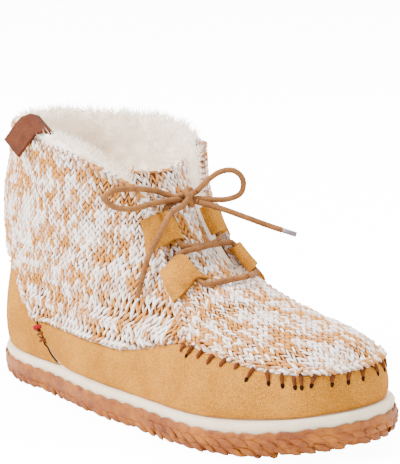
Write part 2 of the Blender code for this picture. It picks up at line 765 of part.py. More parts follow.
def smooth_way(points, spacing):
    """Evenly spaced points on a smooth curve through the given ones."""
    points = [Vector(point) for point in points]
    ends = [points[0] * 2.0 - points[1]] + points + [points[-1] * 2.0 - points[-2]]
    fine = [points[0]]
    for index in range(len(points) - 1):
        fine += [centripetal(*ends[index:index + 4], step / 24) for step in range(1, 25)]
    reach = [0.0]
    for first, second in zip(fine, fine[1:]):
        reach.append(reach[-1] + (second - first).length)
    count = max(int(round(reach[-1] / spacing)), 3)
    made, index = [], 0
    for step in range(count + 1):
        wanted = reach[-1] * step / count
        while index < len(reach) - 2 and reach[index + 1] < wanted:
            index += 1
        span = reach[index + 1] - reach[index]
        made.append(fine[index].lerp(fine[index + 1], (wanted - reach[index]) / span))
    return made


def tube(name, points, diameter, finish_material):
    curve = bpy.data.curves.new(name, "CURVE")
    curve.dimensions = "3D"
    spline = curve.splines.new("POLY")
    spline.points.add(len(points) - 1)
    for place, point in zip(spline.points, points):
        place.co = (*point, 1.0)
    curve.bevel_depth = diameter / 2
    curve.bevel_resolution = 2
    curve.use_fill_caps = True
    curve.materials.append(finish_material)
    made = bpy.data.objects.new(name, curve)
    bpy.context.scene.collection.objects.link(made)
    return made


def tunnel(side, tab):
    """Way of the lace through a tab, from the toe end up."""
    return [tab_frame(side, tab, place, 0.0, 0.0) for place in (-1.35, -1.0, 0.0, 1.0, 1.25)]


def lace_half(side):
    """From the knot through this side's upper tab, across, and through the other lower tab."""
    lower, upper = TABS
    knot = Vector(KNOT) + Vector((-KNOT_SIZE[0] * 0.50, side * KNOT_SIZE[1] * 0.48, -0.0010))
    down = list(reversed(tunnel(side, upper)))
    cross = surface(side, 1.0, CROSSING_RING, 0.0010)
    over = list(reversed(tunnel(-side, lower)))
    bar = surface(side, 1.0, BAR_RING, BAR_HEIGHT)
    return [knot] + down + [cross] + over + [bar]


def build_lace(cord):
    """Both halves of the lace joined where they cross and where they meet at the lower bar."""
    halves = []
    for name, side in SIDES:
        points = smooth_way([tuple(point) for point in lace_half(side)], LACE_DIAMETER * 0.75)
        halves.append(tube("lace_" + name, points, LACE_DIAMETER, cord))
    for half in halves:
        bpy.context.view_layer.objects.active = half
        bpy.ops.object.select_all(action="DESELECT")
        half.select_set(True)
        bpy.ops.object.convert(target="MESH")
    first, second = halves
    join = first.modifiers.new("join", "BOOLEAN")
    join.operation = "UNION"
    join.solver = "EXACT"
    join.object = second
    bpy.context.view_layer.objects.active = first
    bpy.ops.object.modifier_apply(modifier="join")
    bpy.data.objects.remove(second, do_unlink=True)
    first.name = "lace_bars"
    return first


def build_knot(cord):
    bm = bmesh.new()
    bmesh.ops.create_uvsphere(bm, u_segments=16, v_segments=10, radius=0.5)
    for vert in bm.verts:
        vert.co = Vector(KNOT) + Vector(a * b for a, b in zip(vert.co, KNOT_SIZE))
    return finish("knot", bm, cord)


def build_cords(cord, metal):
    for name, way in CORD_WAYS.items():
        points = smooth_way(way, LACE_DIAMETER * 2.0)
        tube(name, points, LACE_DIAMETER, cord)
        if name.startswith("end"):
            heading = (points[-1] - points[-2]).normalized()
            start = points[-1] + heading * FIT_GAP
            build_aglet("aglet_" + name.split("_")[1], start, heading, metal)


def build_aglet(name, start, heading, metal):
    bm = bmesh.new()
    turn = heading.to_track_quat("Z", "Y").to_matrix().to_4x4()
    middle = Matrix.Translation(start + heading * (AGLET_LENGTH / 2))
    bmesh.ops.create_cone(bm, cap_ends=True, segments=12, radius1=AGLET_DIAMETER / 2,
                          radius2=AGLET_DIAMETER / 2, depth=AGLET_LENGTH, matrix=middle @ turn)
    return finish(name, bm, metal, smooth_angle=40.0)


def build_pull_loop(leather):
    """The leather strip over the collar's rim, hanging outside it."""
    side, column = LATERAL, LOOP_COLUMN
    rim = grid_surface(side, column, COLLAR_ROW, 0.0)
    ahead = grid_surface(side, column + 0.2, COLLAR_ROW, 0.0) - rim
    ahead = Vector((ahead.x, ahead.y, 0.0)).normalized()
    ahead.rotate(Matrix.Rotation(math.radians(LOOP_TURN), 3, "Z"))
    outward = Vector((ahead.y, -ahead.x, 0.0)) * -side
    tilt = Matrix.Rotation(math.radians(LOOP_TILT), 3, outward)
    ahead, upward = tilt @ ahead, tilt @ Vector((0.0, 0.0, 1.0))
    bm = bmesh.new()
    outer, inner = [], []
    count = len(LOOP_WAY)
    for index, (out, up) in enumerate(LOOP_WAY):
        before = Vector(LOOP_WAY[max(index - 1, 0)])
        after = Vector(LOOP_WAY[min(index + 1, count - 1)])
        heading = (after - before).normalized()
        left = Vector((-heading.y, heading.x)) * LOOP_LEATHER / 2
        for made, sign in ((outer, 1.0), (inner, -1.0)):
            place = rim + outward * (out + sign * left.x) + upward * (up + sign * left.y)
            made.append([place - ahead * LOOP_WIDTH / 2, place + ahead * LOOP_WIDTH / 2])
    panel(bm, outer, inner)
    return finish("pull_loop", bm, leather, smooth_angle=35.0)


def set_origin(base):
    """Moves every piece so that the middle of the base's footprint is at the origin."""
    corners = [Vector(corner) for corner in base.bound_box]
    low = Vector([min(corner[axis] for corner in corners) for axis in range(3)])
    high = Vector([max(corner[axis] for corner in corners) for axis in range(3)])
    move = Matrix.Translation((-(low.x + high.x) / 2, -(low.y + high.y) / 2, -low.z))
    for found in bpy.data.objects:
        found.data.transform(move)


def main():
    clear_scene()
    rubber = material("gum rubber", (0.42, 0.20, 0.07), 0.45)
    foam = material("cream foam", (0.86, 0.79, 0.66), 0.6)
    felt = material("insole felt", (0.85, 0.80, 0.70), 0.95)
    fleece = material("cream fleece", (0.90, 0.85, 0.78), 0.95)
    knit = material("marled knit", (0.80, 0.66, 0.48), 0.9)
    suede = material("tan suede", (0.62, 0.40, 0.18), 0.9)
    leather = material("brown leather", (0.22, 0.07, 0.03), 0.6)
    cord = material("tan lace", (0.40, 0.21, 0.08), 0.8)
    metal = material("pale tip", (0.62, 0.55, 0.55), 0.4)
    outsole = build_outsole(rubber)
    build_midsole(foam)
    build_insole(felt)
    build_upper(fleece)
    build_quarters(knit)
    build_vamp(knit)
    build_suede(suede)
    build_tongue(knit)
    for side_name, side in SIDES:
        for tab in TABS:
            build_tab("tab_" + side_name + "_" + tab[0], side, tab, suede)
    build_pull_loop(leather)
    build_lace(cord)
    build_knot(cord)
    build_cords(cord, metal)
    set_origin(outsole)


main()
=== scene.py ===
import json
import math
import random

import bpy
import numpy as np
from mathutils import Matrix, Vector, noise
from mathutils.bvhtree import BVHTree

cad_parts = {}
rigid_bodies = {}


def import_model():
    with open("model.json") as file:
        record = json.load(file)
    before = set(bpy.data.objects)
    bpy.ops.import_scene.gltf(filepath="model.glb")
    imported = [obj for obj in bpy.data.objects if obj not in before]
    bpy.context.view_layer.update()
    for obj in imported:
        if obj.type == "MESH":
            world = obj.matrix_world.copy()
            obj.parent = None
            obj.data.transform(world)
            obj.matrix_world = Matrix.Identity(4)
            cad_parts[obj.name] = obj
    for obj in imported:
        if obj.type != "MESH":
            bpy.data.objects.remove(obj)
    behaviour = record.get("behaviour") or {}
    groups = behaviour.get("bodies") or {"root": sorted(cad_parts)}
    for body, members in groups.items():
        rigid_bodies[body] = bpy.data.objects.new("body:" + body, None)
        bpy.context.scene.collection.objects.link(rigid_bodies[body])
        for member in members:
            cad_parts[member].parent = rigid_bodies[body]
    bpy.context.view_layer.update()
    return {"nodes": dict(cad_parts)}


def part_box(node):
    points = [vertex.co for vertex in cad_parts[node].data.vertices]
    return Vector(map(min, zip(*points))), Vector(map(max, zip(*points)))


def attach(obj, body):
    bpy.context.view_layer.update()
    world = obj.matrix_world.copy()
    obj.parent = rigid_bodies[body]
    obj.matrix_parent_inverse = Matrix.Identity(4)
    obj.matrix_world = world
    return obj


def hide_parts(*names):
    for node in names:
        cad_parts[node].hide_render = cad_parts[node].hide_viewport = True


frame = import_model()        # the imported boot
nodes = frame["nodes"]
lateral, medial = -1, 1
sideNames = {lateral: "lateral", medial: "medial"}
upwards, downwards = Vector((0, 0, 1)), Vector((0, 0, -1))


def deselectAll():
    if bpy.context.object and bpy.context.object.mode != "OBJECT":
        bpy.ops.object.mode_set(mode="OBJECT")
    for found in bpy.data.objects:
        found.select_set(False)


def activate(piece):
    deselectAll()
    piece.select_set(True)
    bpy.context.view_layer.objects.active = piece


def addObject(name, data):
    piece = bpy.data.objects.new(name, data)
    bpy.context.scene.collection.objects.link(piece)
    return piece


# gives a piece its finish and its place on the boot
def settle(piece, finish, slotName, *replaced):
    piece.data.materials.clear()
    piece.data.materials.append(finishes[finish])
    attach(piece, "root")
    if replaced:
        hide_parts(*replaced)


# a copy of a solid with its loose triangles joined again
def solidCopy(nodeName, name, angle=40, quads=True):
    piece = addObject(name, nodes[nodeName].data.copy())
    activate(piece)
    bpy.ops.object.mode_set(mode="EDIT")
    bpy.ops.mesh.select_all(action="SELECT")
    bpy.ops.mesh.remove_doubles(threshold=0.00001)
    if quads:
        bpy.ops.mesh.tris_convert_to_quads(
            face_threshold=math.radians(40), shape_threshold=math.radians(60))
    bpy.ops.object.mode_set(mode="OBJECT")
    bpy.ops.object.shade_smooth_by_angle(angle=math.radians(angle))
    return piece


def subdivided(piece, levels):
    rounding = piece.modifiers.new("Subdivision", "SUBSURF")
    rounding.levels = rounding.render_levels = levels
    activate(piece)
    bpy.ops.object.modifier_apply(modifier=rounding.name)
    return piece


# a tree for rays and nearest points, over CAD nodes by name and over pieces
def treeOf(*names):
    points, faces = [], []
    for name in names:
        mesh = nodes[name].data if isinstance(name, str) else name.data
        start = len(points)
        points.extend(v.co.copy() for v in mesh.vertices)
        faces.extend([start + i for i in p.vertices] for p in mesh.polygons)
    return BVHTree.FromPolygons(points, faces)


# where a ray first meets a tree, with the normal that faces the ray
def fromOutside(tree, origin, toward, reach=0.3):
    point, normal = tree.ray_cast(origin, toward, reach)[:2]
    if point is None:
        return None
    return point, (normal if normal.dot(toward) < 0 else -normal)


def readShape(piece):   # its points and faces; the piece is removed
    points = np.array([v.co for v in piece.data.vertices])
    faces = [tuple(p.vertices) for p in piece.data.polygons]
    bpy.data.objects.remove(piece)
    return points, faces


def ballShape(segments, rings, lying=True):   # a lying ball has its poles along y
    bpy.ops.mesh.primitive_uv_sphere_add(segments=segments, ring_count=rings, radius=1.0)
    ball = bpy.context.object
    if lying:
        ball.data.transform(Matrix.Rotation(math.radians(90), 4, "X"))
    return readShape(ball)


# one mesh of many small copies; a place is origin, across, along and out, already to scale
def copiesOf(name, shape, places, tones=None):
    points, faces = shape
    places = np.asarray(places)
    made = places[:, None, 0] + np.einsum("pk,nkc->npc", points, places[:, 1:])
    count, size = len(places), len(points)
    mesh = bpy.data.meshes.new(name)
    mesh.from_pydata(made.reshape(-1, 3).tolist(), [],
                     [tuple(n * size + i for i in face) for n in range(count) for face in faces])
    span = points.max(0) - points.min(0)
    share = (points - points.min(0)) / np.where(span > 0, span, 1)
    facts = np.zeros((count, size, 3))
    facts[:, :, 0] = np.asarray(tones or [0.5] * count)[:, None]
    facts[:, :, 1], facts[:, :, 2] = share[None, :, 1], share[None, :, 0]
    strand = mesh.attributes.new("strand", "FLOAT_VECTOR", "POINT")   # tone, along, across
    strand.data.foreach_set("vector", facts.reshape(-1).astype(np.float32))
    mesh.update()
    piece = addObject(name, mesh)
    activate(piece)
    bpy.ops.object.shade_smooth()
    return piece


# positions on a line of points at equal distances, as an index and a share of the next step
def evenly(points, spacing, start=0.0):
    lengths = [0.0]
    for one, two in zip(points, points[1:]):
        lengths.append(lengths[-1] + (two - one).length)
    found, target, at = [], start, 0
    while target <= lengths[-1]:
        while lengths[at + 1] < target:
            at += 1
        step = lengths[at + 1] - lengths[at]
        found.append(at + (target - lengths[at]) / step if step > 1e-9 else float(at))
        target += spacing
    return found


def between(points, position):
    at = min(int(position), len(points) - 2)
    return points[at].lerp(points[at + 1], position - at)


# the point at a position, the index nearest to it and the line's direction there
def spotOn(points, position, reach=1):
    at = min(max(int(position), reach), len(points) - 1 - reach)
    return between(points, position), at, (points[at + reach] - points[at - reach]).normalized()


def patch(point, size, seed):   # smooth value from about -1 to 1 that changes over a length
    return noise.noise(Vector(point) / size + Vector((seed, seed * 1.7, seed * 2.3)))


def levelWay(x, y):
    return Vector((x, y, 0)).normalized()


def curveTube(name, points, radius, around=8, taper=None):
    data = bpy.data.curves.new(name, "CURVE")
    data.dimensions = "3D"
    data.bevel_depth = radius
    data.bevel_resolution = around // 2 - 1
    data.use_fill_caps = True
    line = data.splines.new("POLY")
    line.points.add(len(points) - 1)
    for made, point, share in zip(line.points, points, taper or [1.0] * len(points)):
        made.co, made.radius = (*point, 1), share
    return addObject(name, data)


def joined(pieces, name):   # several curves made one mesh
    activate(pieces[0])
    for piece in pieces:
        piece.select_set(True)
    bpy.ops.object.convert(target="MESH")
    bpy.ops.object.join()
    bpy.context.object.name = name
    return bpy.context.object


photoView = {
    "target": (0.0015, 0.0012, 0.070), "azimuth": 47, "elevation": 12, "roll": 1.5,
    "distance": 0.85, "lens": 131.7, "shiftX": 0.0453, "shiftY": 0.0776,
}


def addCamera(view):
    azimuth, elevation, roll = (math.radians(view[k]) for k in ("azimuth", "elevation", "roll"))
    right = Vector((math.cos(azimuth), math.sin(azimuth), 0))
    back = Vector((math.sin(azimuth) * math.cos(elevation),
                   -math.cos(azimuth) * math.cos(elevation), math.sin(elevation)))
    up = back.cross(right)
    turnedRight = right * math.cos(roll) - up * math.sin(roll)
    turnedUp = right * math.sin(roll) + up * math.cos(roll)
    bpy.ops.object.camera_add()
    camera = bpy.context.object
    camera.data.lens = view["lens"]
    camera.data.shift_x, camera.data.shift_y = view["shiftX"], view["shiftY"]
    turn = Matrix((turnedRight, turnedUp, back)).transposed().to_4x4()
    place = Vector(view["target"]) + back * view["distance"]
    camera.matrix_world = Matrix.Translation(place) @ turn
    bpy.context.scene.camera = camera


# a number or tuple is set on the socket, and another node's output is linked to it
def give(tree, socket, value):
    if isinstance(value, bpy.types.NodeSocket):
        tree.links.new(value, socket)
    else:
        socket.default_value = value + (1,) if isinstance(value, tuple) else value


def addNode(tree, kind, **values):   # a label's spaces are written as low lines
    made = tree.nodes.new("ShaderNode" + kind)
    for label, value in values.items():
        give(tree, made.inputs[label.replace("_", " ")], value)
    return made


def mathNode(tree, operation, *values):
    made = tree.nodes.new("ShaderNodeMath")
    made.operation = operation
    for socket, value in zip(made.inputs, values):
        give(tree, socket, value)
    return made.outputs[0]


studio = {
    "floorSize": 6.0, "floorHeight": -0.0002, "floorTone": (0.92, 0.92, 0.92), "floorGlow": 12.0,
    "worldTone": (1.0, 0.99, 0.98), "worldStrength": 1.5, "backdropStrength": 16.0,
    "lamps": {   # place, size and power
        "keyLight": ((-0.75, -1.15, 1.35), 0.8, 90.0), "fillLight": ((1.3, -0.9, 0.7), 1.4, 10.0),
        "backLight": ((0.0, 0.7, 1.7), 0.9, 52.0)}, "aim": (0.0, 0.0, 0.06),
}


# the floor glows and the backdrop shines for the camera only, so the boot keeps its contrast
def addStudio(plan):
    bpy.ops.mesh.primitive_plane_add(size=plan["floorSize"], location=(0, 0, plan["floorHeight"]))
    floor = bpy.context.object
    floor.name = "studioFloor"
    paint = bpy.data.materials.new("studioWhite")
    paint.use_nodes = True
    tree = paint.node_tree
    glow = mathNode(tree, "MULTIPLY", addNode(tree, "LightPath").outputs["Is Camera Ray"],
                    plan["floorGlow"])
    for label, value in (("Base Color", plan["floorTone"]), ("Roughness", 0.9),
                         ("Emission Color", (1, 1, 1)), ("Emission Strength", glow)):
        give(tree, tree.nodes["Principled BSDF"].inputs[label], value)
    floor.data.materials.append(paint)
    world = bpy.data.worlds.new("studioWorld")
    world.use_nodes = True
    tree = world.node_tree
    sky = tree.nodes["Background"]
    give(tree, sky.inputs["Color"], plan["worldTone"])
    give(tree, sky.inputs["Strength"], plan["worldStrength"])
    backdrop = addNode(tree, "Background", Strength=plan["backdropStrength"])
    choose = tree.nodes.new("ShaderNodeMixShader")
    seen = addNode(tree, "LightPath").outputs["Is Camera Ray"]
    for socket, value in zip(choose.inputs, (seen, sky.outputs[0], backdrop.outputs[0])):
        give(tree, socket, value)
    give(tree, tree.nodes["World Output"].inputs["Surface"], choose.outputs[0])
    bpy.context.scene.world = world
    for name, (place, size, power) in plan["lamps"].items():
        bpy.ops.object.light_add(type="AREA", location=place)
        lamp = bpy.context.object
        lamp.name = name
        lamp.data.size, lamp.data.energy = size, power
        way = Vector(plan["aim"]) - Vector(place)
        lamp.rotation_euler = way.to_track_quat("-Z", "Y").to_euler()


deselectAll()
addCamera(photoView)
addStudio(studio)
print("studio ready")


def newGroup(name, inputs):   # a shader group; each puts out a colour, a height and a roughness
    tree = bpy.data.node_groups.new(name, "ShaderNodeTree")
    for label, value in inputs.items():
        kind = "NodeSocketColor" if isinstance(value, tuple) else "NodeSocketFloat"
        made = tree.interface.new_socket(label, in_out="INPUT", socket_type=kind)
        made.default_value = value + (1,) if isinstance(value, tuple) else value
    for label, kind in (("Color", "NodeSocketColor"), ("Height", "NodeSocketFloat"),
                        ("Roughness", "NodeSocketFloat")):
        tree.interface.new_socket(label, in_out="OUTPUT", socket_type=kind)
    given, out = tree.nodes.new("NodeGroupInput"), tree.nodes.new("NodeGroupOutput")
    return tree, given.outputs, out.inputs


def mixColor(tree, share, one, two, blend="MIX"):
    made = tree.nodes.new("ShaderNodeMix")
    made.data_type, made.blend_type = "RGBA", blend
    give(tree, made.inputs["Factor"], share)
    for letter, value in (("A", one), ("B", two)):   # the colour sockets come last of their name
        give(tree, [s for s in made.inputs if s.name == letter and s.type == "RGBA"][0], value)
    return [o for o in made.outputs if o.type == "RGBA"][0]


def noiseValue(tree, place, scale, detail, roughness):
    return addNode(tree, "TexNoise", Vector=place, Scale=scale, Detail=detail,
                   Roughness=roughness).outputs["Fac"]


def spanShare(tree, value, low, high, top=1.0):   # 0 at low and top at high
    return addNode(tree, "MapRange", Value=value, From_Min=low, From_Max=high, To_Max=top)


def strandFacts(tree):   # tone, along and across, from the "strand" attribute
    strand = tree.nodes.new("ShaderNodeAttribute")
    strand.attribute_name = "strand"
    return addNode(tree, "SeparateXYZ", Vector=strand.outputs["Vector"]).outputs


# soft mottling and fine grain, for suede, leather, foam, rubber, lace and thread
def grainGroup():
    tree, given, out = newGroup("grain", {
        "Color": (0.5, 0.4, 0.3), "Dark": (0.4, 0.3, 0.2), "Mottle Scale": 60.0,
        "Grain Scale": 1500.0, "Grain Amount": 0.5, "Roughness": 0.8})
    place = addNode(tree, "TexCoord").outputs["Object"]
    mottle = noiseValue(tree, place, given["Mottle Scale"], 4.0, 0.6)
    grain = noiseValue(tree, place, given["Grain Scale"], 3.0, 0.65)
    spread = mathNode(tree, "MULTIPLY_ADD", mathNode(tree, "SUBTRACT", grain, 0.5),
                      mathNode(tree, "MULTIPLY", given["Grain Amount"], 3.0), mottle)
    share = spanShare(tree, spread, 0.3, 0.72).outputs["Result"]
    give(tree, out["Color"], mixColor(tree, share, given["Dark"], given["Color"]))
    give(tree, out["Height"], mathNode(tree, "ADD", grain, mathNode(tree, "MULTIPLY", mottle, 0.4)))
    give(tree, out["Roughness"], mathNode(
        tree, "MULTIPLY_ADD", mathNode(tree, "SUBTRACT", 0.5, grain), 0.2, given["Roughness"]))
    return tree


# slub yarn that turns from white to tan along its length, with streaks of fibre and painted shade
# in brown at the edges and ends of each strand
def yarnGroup():
    tree, given, out = newGroup("slubYarn", {
        "White": (0.9, 0.87, 0.85), "Tan": (0.6, 0.36, 0.17), "Painted Gap Shade": (0.3, 0.12, 0.03),
        "Streak": 0.5})
    tone, along, across = strandFacts(tree)
    place = addNode(tree, "TexCoord").outputs["Object"]
    lane = addNode(   # streaks lie along the strand
        tree, "CombineXYZ", X=mathNode(tree, "MULTIPLY", tone, 37.0),
        Y=mathNode(tree, "MULTIPLY_ADD", along, 1.3, mathNode(tree, "MULTIPLY", across, 1.6)),
        Z=mathNode(tree, "MULTIPLY", across, 7.0))
    streak = noiseValue(tree, lane.outputs[0], 1.7, 3.0, 0.6)
    fuzz = noiseValue(tree, place, 2600.0, 2.0, 0.6)
    spread = mathNode(tree, "MULTIPLY_ADD", mathNode(tree, "SUBTRACT", streak, 0.5),
                      given["Streak"], tone)
    share = spanShare(tree, spread, 0.38, 0.60)
    share.interpolation_type = "SMOOTHSTEP"
    color = mixColor(tree, share.outputs["Result"], given["Tan"], given["White"])
    side, end = (mathNode(tree, "ABSOLUTE", mathNode(tree, "MULTIPLY_ADD", way, 2.0, -1.0))
                 for way in (across, along))
    edge = mathNode(tree, "MAXIMUM", side, mathNode(tree, "MULTIPLY", end, 1.04))
    rim = spanShare(tree, edge, 0.66, 1.0, 0.85)   # painted shade: brown at the edges and ends of each strand, where strands meet
    color = mixColor(tree, rim.outputs["Result"], color, given["Painted Gap Shade"])
    dust = mathNode(tree, "MULTIPLY", fuzz, 0.22)
    give(tree, out["Color"], mixColor(tree, dust, color, (0.50, 0.32, 0.18), "MULTIPLY"))
    give(tree, out["Height"], mathNode(tree, "ADD", mathNode(tree, "MULTIPLY", streak, 0.7), fuzz))
    give(tree, out["Roughness"], mathNode(tree, "MULTIPLY_ADD", fuzz, 0.2, 0.72))
    return tree


# fleece and felt: pale hairs, darker and warmer lower down by painted shade, and where a strand's
# tone is low from random mottling or painted shade
def pileGroup():
    tree, given, out = newGroup("pile", {
        "Tip": (0.93, 0.9, 0.85), "Shade And Mottle": (0.75, 0.6, 0.42), "Low": 0.02, "High": 0.11})
    place = addNode(tree, "TexCoord").outputs["Object"]
    height = addNode(tree, "SeparateXYZ", Vector=place).outputs[2]
    # painted shade: hairs turn darker and warmer the lower they stand, between Low and High
    depth = spanShare(tree, height, given["Low"], given["High"]).outputs["Result"]
    tufts = noiseValue(tree, place, 160.0, 3.0, 0.55)
    hairs = noiseValue(tree, place, 1400.0, 3.0, 0.7)
    share = mathNode(tree, "ADD", mathNode(tree, "MULTIPLY", depth, 0.25),
                     mathNode(tree, "MULTIPLY", strandFacts(tree)[0], 0.75))
    give(tree, out["Color"], mixColor(tree, share, given["Shade And Mottle"], given["Tip"]))
    give(tree, out["Height"], mathNode(tree, "ADD", tufts, mathNode(tree, "MULTIPLY", hairs, 0.6)))
    give(tree, out["Roughness"], mathNode(tree, "MULTIPLY_ADD", hairs, 0.1, 0.85))
    return tree


# a finish from one of the groups; a number that is the same all over is set on the shader itself
def groupMaterial(name, group, values, bump, depth, **sockets):
    material = bpy.data.materials.new(name)
    material.use_nodes = True
    tree = material.node_tree
    shader = tree.nodes["Principled BSDF"]
    made = tree.nodes.new("ShaderNodeGroup")
    made.node_tree = group
    for label, value in values.items():
        give(tree, made.inputs[label], value)
    relief = addNode(tree, "Bump", Strength=bump, Distance=depth, Height=made.outputs["Height"])
    give(tree, shader.inputs["Normal"], relief.outputs["Normal"])
    give(tree, shader.inputs["Base Color"], made.outputs["Color"])
    give(tree, shader.inputs["Roughness"], made.outputs["Roughness"])
    for label, value in sockets.items():
        give(tree, shader.inputs[label.replace("_", " ")], value)
    return material


# name, colour, dark, mottle scale, grain scale, grain amount, roughness, bump, depth, specular
grainFinishes = {
    "suede": ("tanSuede", (0.50, 0.21, 0.022), (0.27, 0.10, 0.007),
              45.0, 2100.0, 1.1, 0.95, 0.35, 0.0004, 0.08),
    "foam": ("creamFoam", (0.80, 0.68, 0.50), (0.72, 0.58, 0.40),
             90.0, 900.0, 0.2, 0.7, 0.12, 0.0004, 0.2),
    "gum": ("gumRubber", (0.35, 0.112, 0.010), (0.15, 0.036, 0.012),
            110.0, 420.0, 0.12, 0.5, 0.18, 0.0005, 0.18),
    "leather": ("brownLeather", (0.115, 0.030, 0.010), (0.055, 0.014, 0.006),
                120.0, 1500.0, 0.3, 0.7, 0.3, 0.0003, 0.1),
    "lace": ("tanLace", (0.27, 0.112, 0.030), (0.14, 0.052, 0.014),
             140.0, 1700.0, 0.45, 0.75, 0.3, 0.0003, 0.2),
    "tip": ("laceTip", (0.26, 0.20, 0.21), (0.16, 0.11, 0.12),
            300.0, 900.0, 0.1, 0.35, 0.08, 0.0003, 0.5),
    # painted shade: the backing's dark brown stands for the shade in the holes between stitches
    "paintedShadeBacking": ("knitBackingPaintedShade", (0.24, 0.09, 0.022), (0.12, 0.038, 0.010),
                90.0, 900.0, 0.3, 0.95, 0.4, 0.0005, 0.1),
    "thread": ("brownThread", (0.15, 0.042, 0.010), (0.07, 0.018, 0.005),
               300.0, 2500.0, 0.4, 0.85, 0.3, 0.0002, 0.1),
    # painted shade: near black, for the stitch holes and the seam grooves
    "paintedShade": ("paintedRecessShade", (0.022, 0.007, 0.003), (0.010, 0.003, 0.002),
                 300.0, 2000.0, 0.3, 0.95, 0.2, 0.0002, 0.05),
    "redThread": ("redThread", (0.27, 0.002, 0.009), (0.16, 0.001, 0.006),
                  400.0, 2500.0, 0.4, 0.8, 0.3, 0.0002, 0.1),
}
grainLabels = ("Color", "Dark", "Mottle Scale", "Grain Scale", "Grain Amount", "Roughness")
grain, pile = grainGroup(), pileGroup()
finishes = {
    key: groupMaterial(name, grain, dict(zip(grainLabels, values)), bump, depth,
                       Specular_IOR_Level=specular)
    for key, (name, *values, bump, depth, specular) in grainFinishes.items()}
finishes["yarn"] = groupMaterial("marledYarn", yarnGroup(), {
    "White": (0.97, 0.905, 0.85), "Tan": (0.58, 0.245, 0.05), "Painted Gap Shade": (0.36, 0.13, 0.025),
    "Streak": 0.8}, 0.5, 0.0004, Specular_IOR_Level=0.08)
finishes["fleece"] = groupMaterial("creamFleece", pile, {   # its glow is painted light, standing in for light scattered in the pile
    "Tip": (1.0, 0.915, 0.80), "Shade And Mottle": (0.50, 0.26, 0.08), "Low": 0.04, "High": 0.100},
    0.5, 0.0010, Specular_IOR_Level=0.08, Emission_Color=(1.0, 0.86, 0.68), Emission_Strength=0.54)
finishes["felt"] = groupMaterial("insoleFelt", pile, {
    "Tip": (0.88, 0.80, 0.68), "Shade And Mottle": (0.80, 0.66, 0.48), "Low": 0.0, "High": 0.05},
    0.6, 0.001, Specular_IOR_Level=0.1)
print("finishes ready")


knit = {
    "wale": 0.0037, "course": 0.0035, "legRadius": 0.00078, "legLength": 1.80, "lift": -0.0004,
    "tilt": 0.30, "legApart": 0.245, "longestStep": 1.7, "seed": 11, "patchSize": 0.013,
    "tone": 0.505, "blotch": 0.30, "slub": 0.6, "whiteSlub": 0.6, "whiteFrom": 0.55,
    "slubSpread": 0.10, "toneSpread": 0.24, "tiltSpread": 0.12, "lengthSpread": 0.08,
    "ownWithin": 0.0011, "backingDepth": 0.0008,
    "chainSpacing": 0.0034, "chainTilt": 0.5, "chainApart": 0.0008, "chainLift": 0.0002,
    "chainTone": 0.5, "chainBlotch": 0.4, "chainToneSpread": 0.15, "chainStrandSpread": 0.1,
    "quarterChains": (   # edge, inward, lift and size
        ("top", 0.0010, 0.0, 1.1), ("top", -0.0004, -0.0014, 1.25),
        ("top", -0.0002, -0.0030, 1.1), ("bottom", -0.0004, 0.0002, 1.2)),
    "vampChain": (0.0008, 0.0, 1.25), "tongueChain": (0.0, 0.0, 1.1),
    "tongueStart": (0.045, 0, 0.062), "tongueWay": (-0.776, 0, 0.631),
    "tongueOut": (0.631, 0, 0.776), "tongueRows": 30, "tongueHalf": 8, "bareBelow": 0.103,
}
heelPath = {"centre": -0.086, "radius": 0.045, "far": 0.12, "step": 0.0007, "count": 330}


# one leg of a stitch: a plump strand, thin at both ends, bulging outwards in the middle
def makeLeg():
    points, faces = ballShape(6, 6)
    along = points[:, 1].copy()
    points[:, 2] += 0.9 * (1 - along ** 2)       # in units of the strand's radius
    points[:, 0] += 0.35 * np.sin(along * 1.6)
    return points, faces


def inRange(value):
    return min(max(value, 0.0), 1.0)


def varied(rng, spread):
    return rng.uniform(-spread, spread)


# both legs of every stitch on a grid of places, each with its own slight size and turn
def stitchPlaces(grid, plan, rng):
    places, tones = [], []
    for j, row in enumerate(grid):
        for k, spot in enumerate(row):
            if spot is None:
                continue
            above = grid[j + 1][k] if j + 1 < len(grid) and k < len(grid[j + 1]) else None
            below = grid[j - 1][k] if j > 0 and k < len(grid[j - 1]) else None
            if above is None and below is None:
                continue
            point, out = spot
            along = (above or spot)[0] - (below or spot)[0]
            step = min(along.length / (2 if above and below else 1),
                       plan["course"] * plan["longestStep"])
            across = along.normalized().cross(out).normalized()
            along = out.cross(across).normalized()
            blotch = patch((point.x, point.y, point.z * 1.3), plan["patchSize"], 3.1)
            blotch += 0.5 * patch(point, plan["patchSize"] * 0.45, 7.7)
            for hand in (-1, 1):
                slub = 1.0 + plan["slub"] * patch(point + across * hand * 0.002, 0.006, 9.0)
                slub += varied(rng, plan["slubSpread"])
                tone = plan["tone"] + plan["blotch"] * blotch + varied(rng, plan["toneSpread"])
                slub *= 1.0 + plan["whiteSlub"] * max(0.0, tone - plan["whiteFrom"])
                radius = plan["legRadius"] * slub
                tilt = (plan["tilt"] + varied(rng, plan["tiltSpread"])) * hand
                way = along * math.cos(tilt) + across * math.sin(tilt)
                wide = way.cross(out).normalized()
                half = max(step, plan["course"]) * plan["legLength"] / 2
                half *= 1 + varied(rng, plan["lengthSpread"])
                middle = point + across * (hand * plan["wale"] * plan["legApart"])
                places.append((middle + out * plan["lift"], wide * radius * hand, way * half,
                               out * radius))
                tones.append(inRange(tone))
    return places, tones


# a ray towards the boot's leg: round the heel first, then straight from the side
def heelRay(side, way):
    turn = math.pi / 2 * heelPath["radius"]
    centre = Vector((heelPath["centre"], 0, 0))
    if way < turn:
        angle = way / heelPath["radius"]
        toward = Vector((math.cos(angle), -side * math.sin(angle), 0))
        return centre - toward * heelPath["far"], toward
    return centre + Vector((way - turn, side * heelPath["far"], 0)), Vector((0, -side, 0))


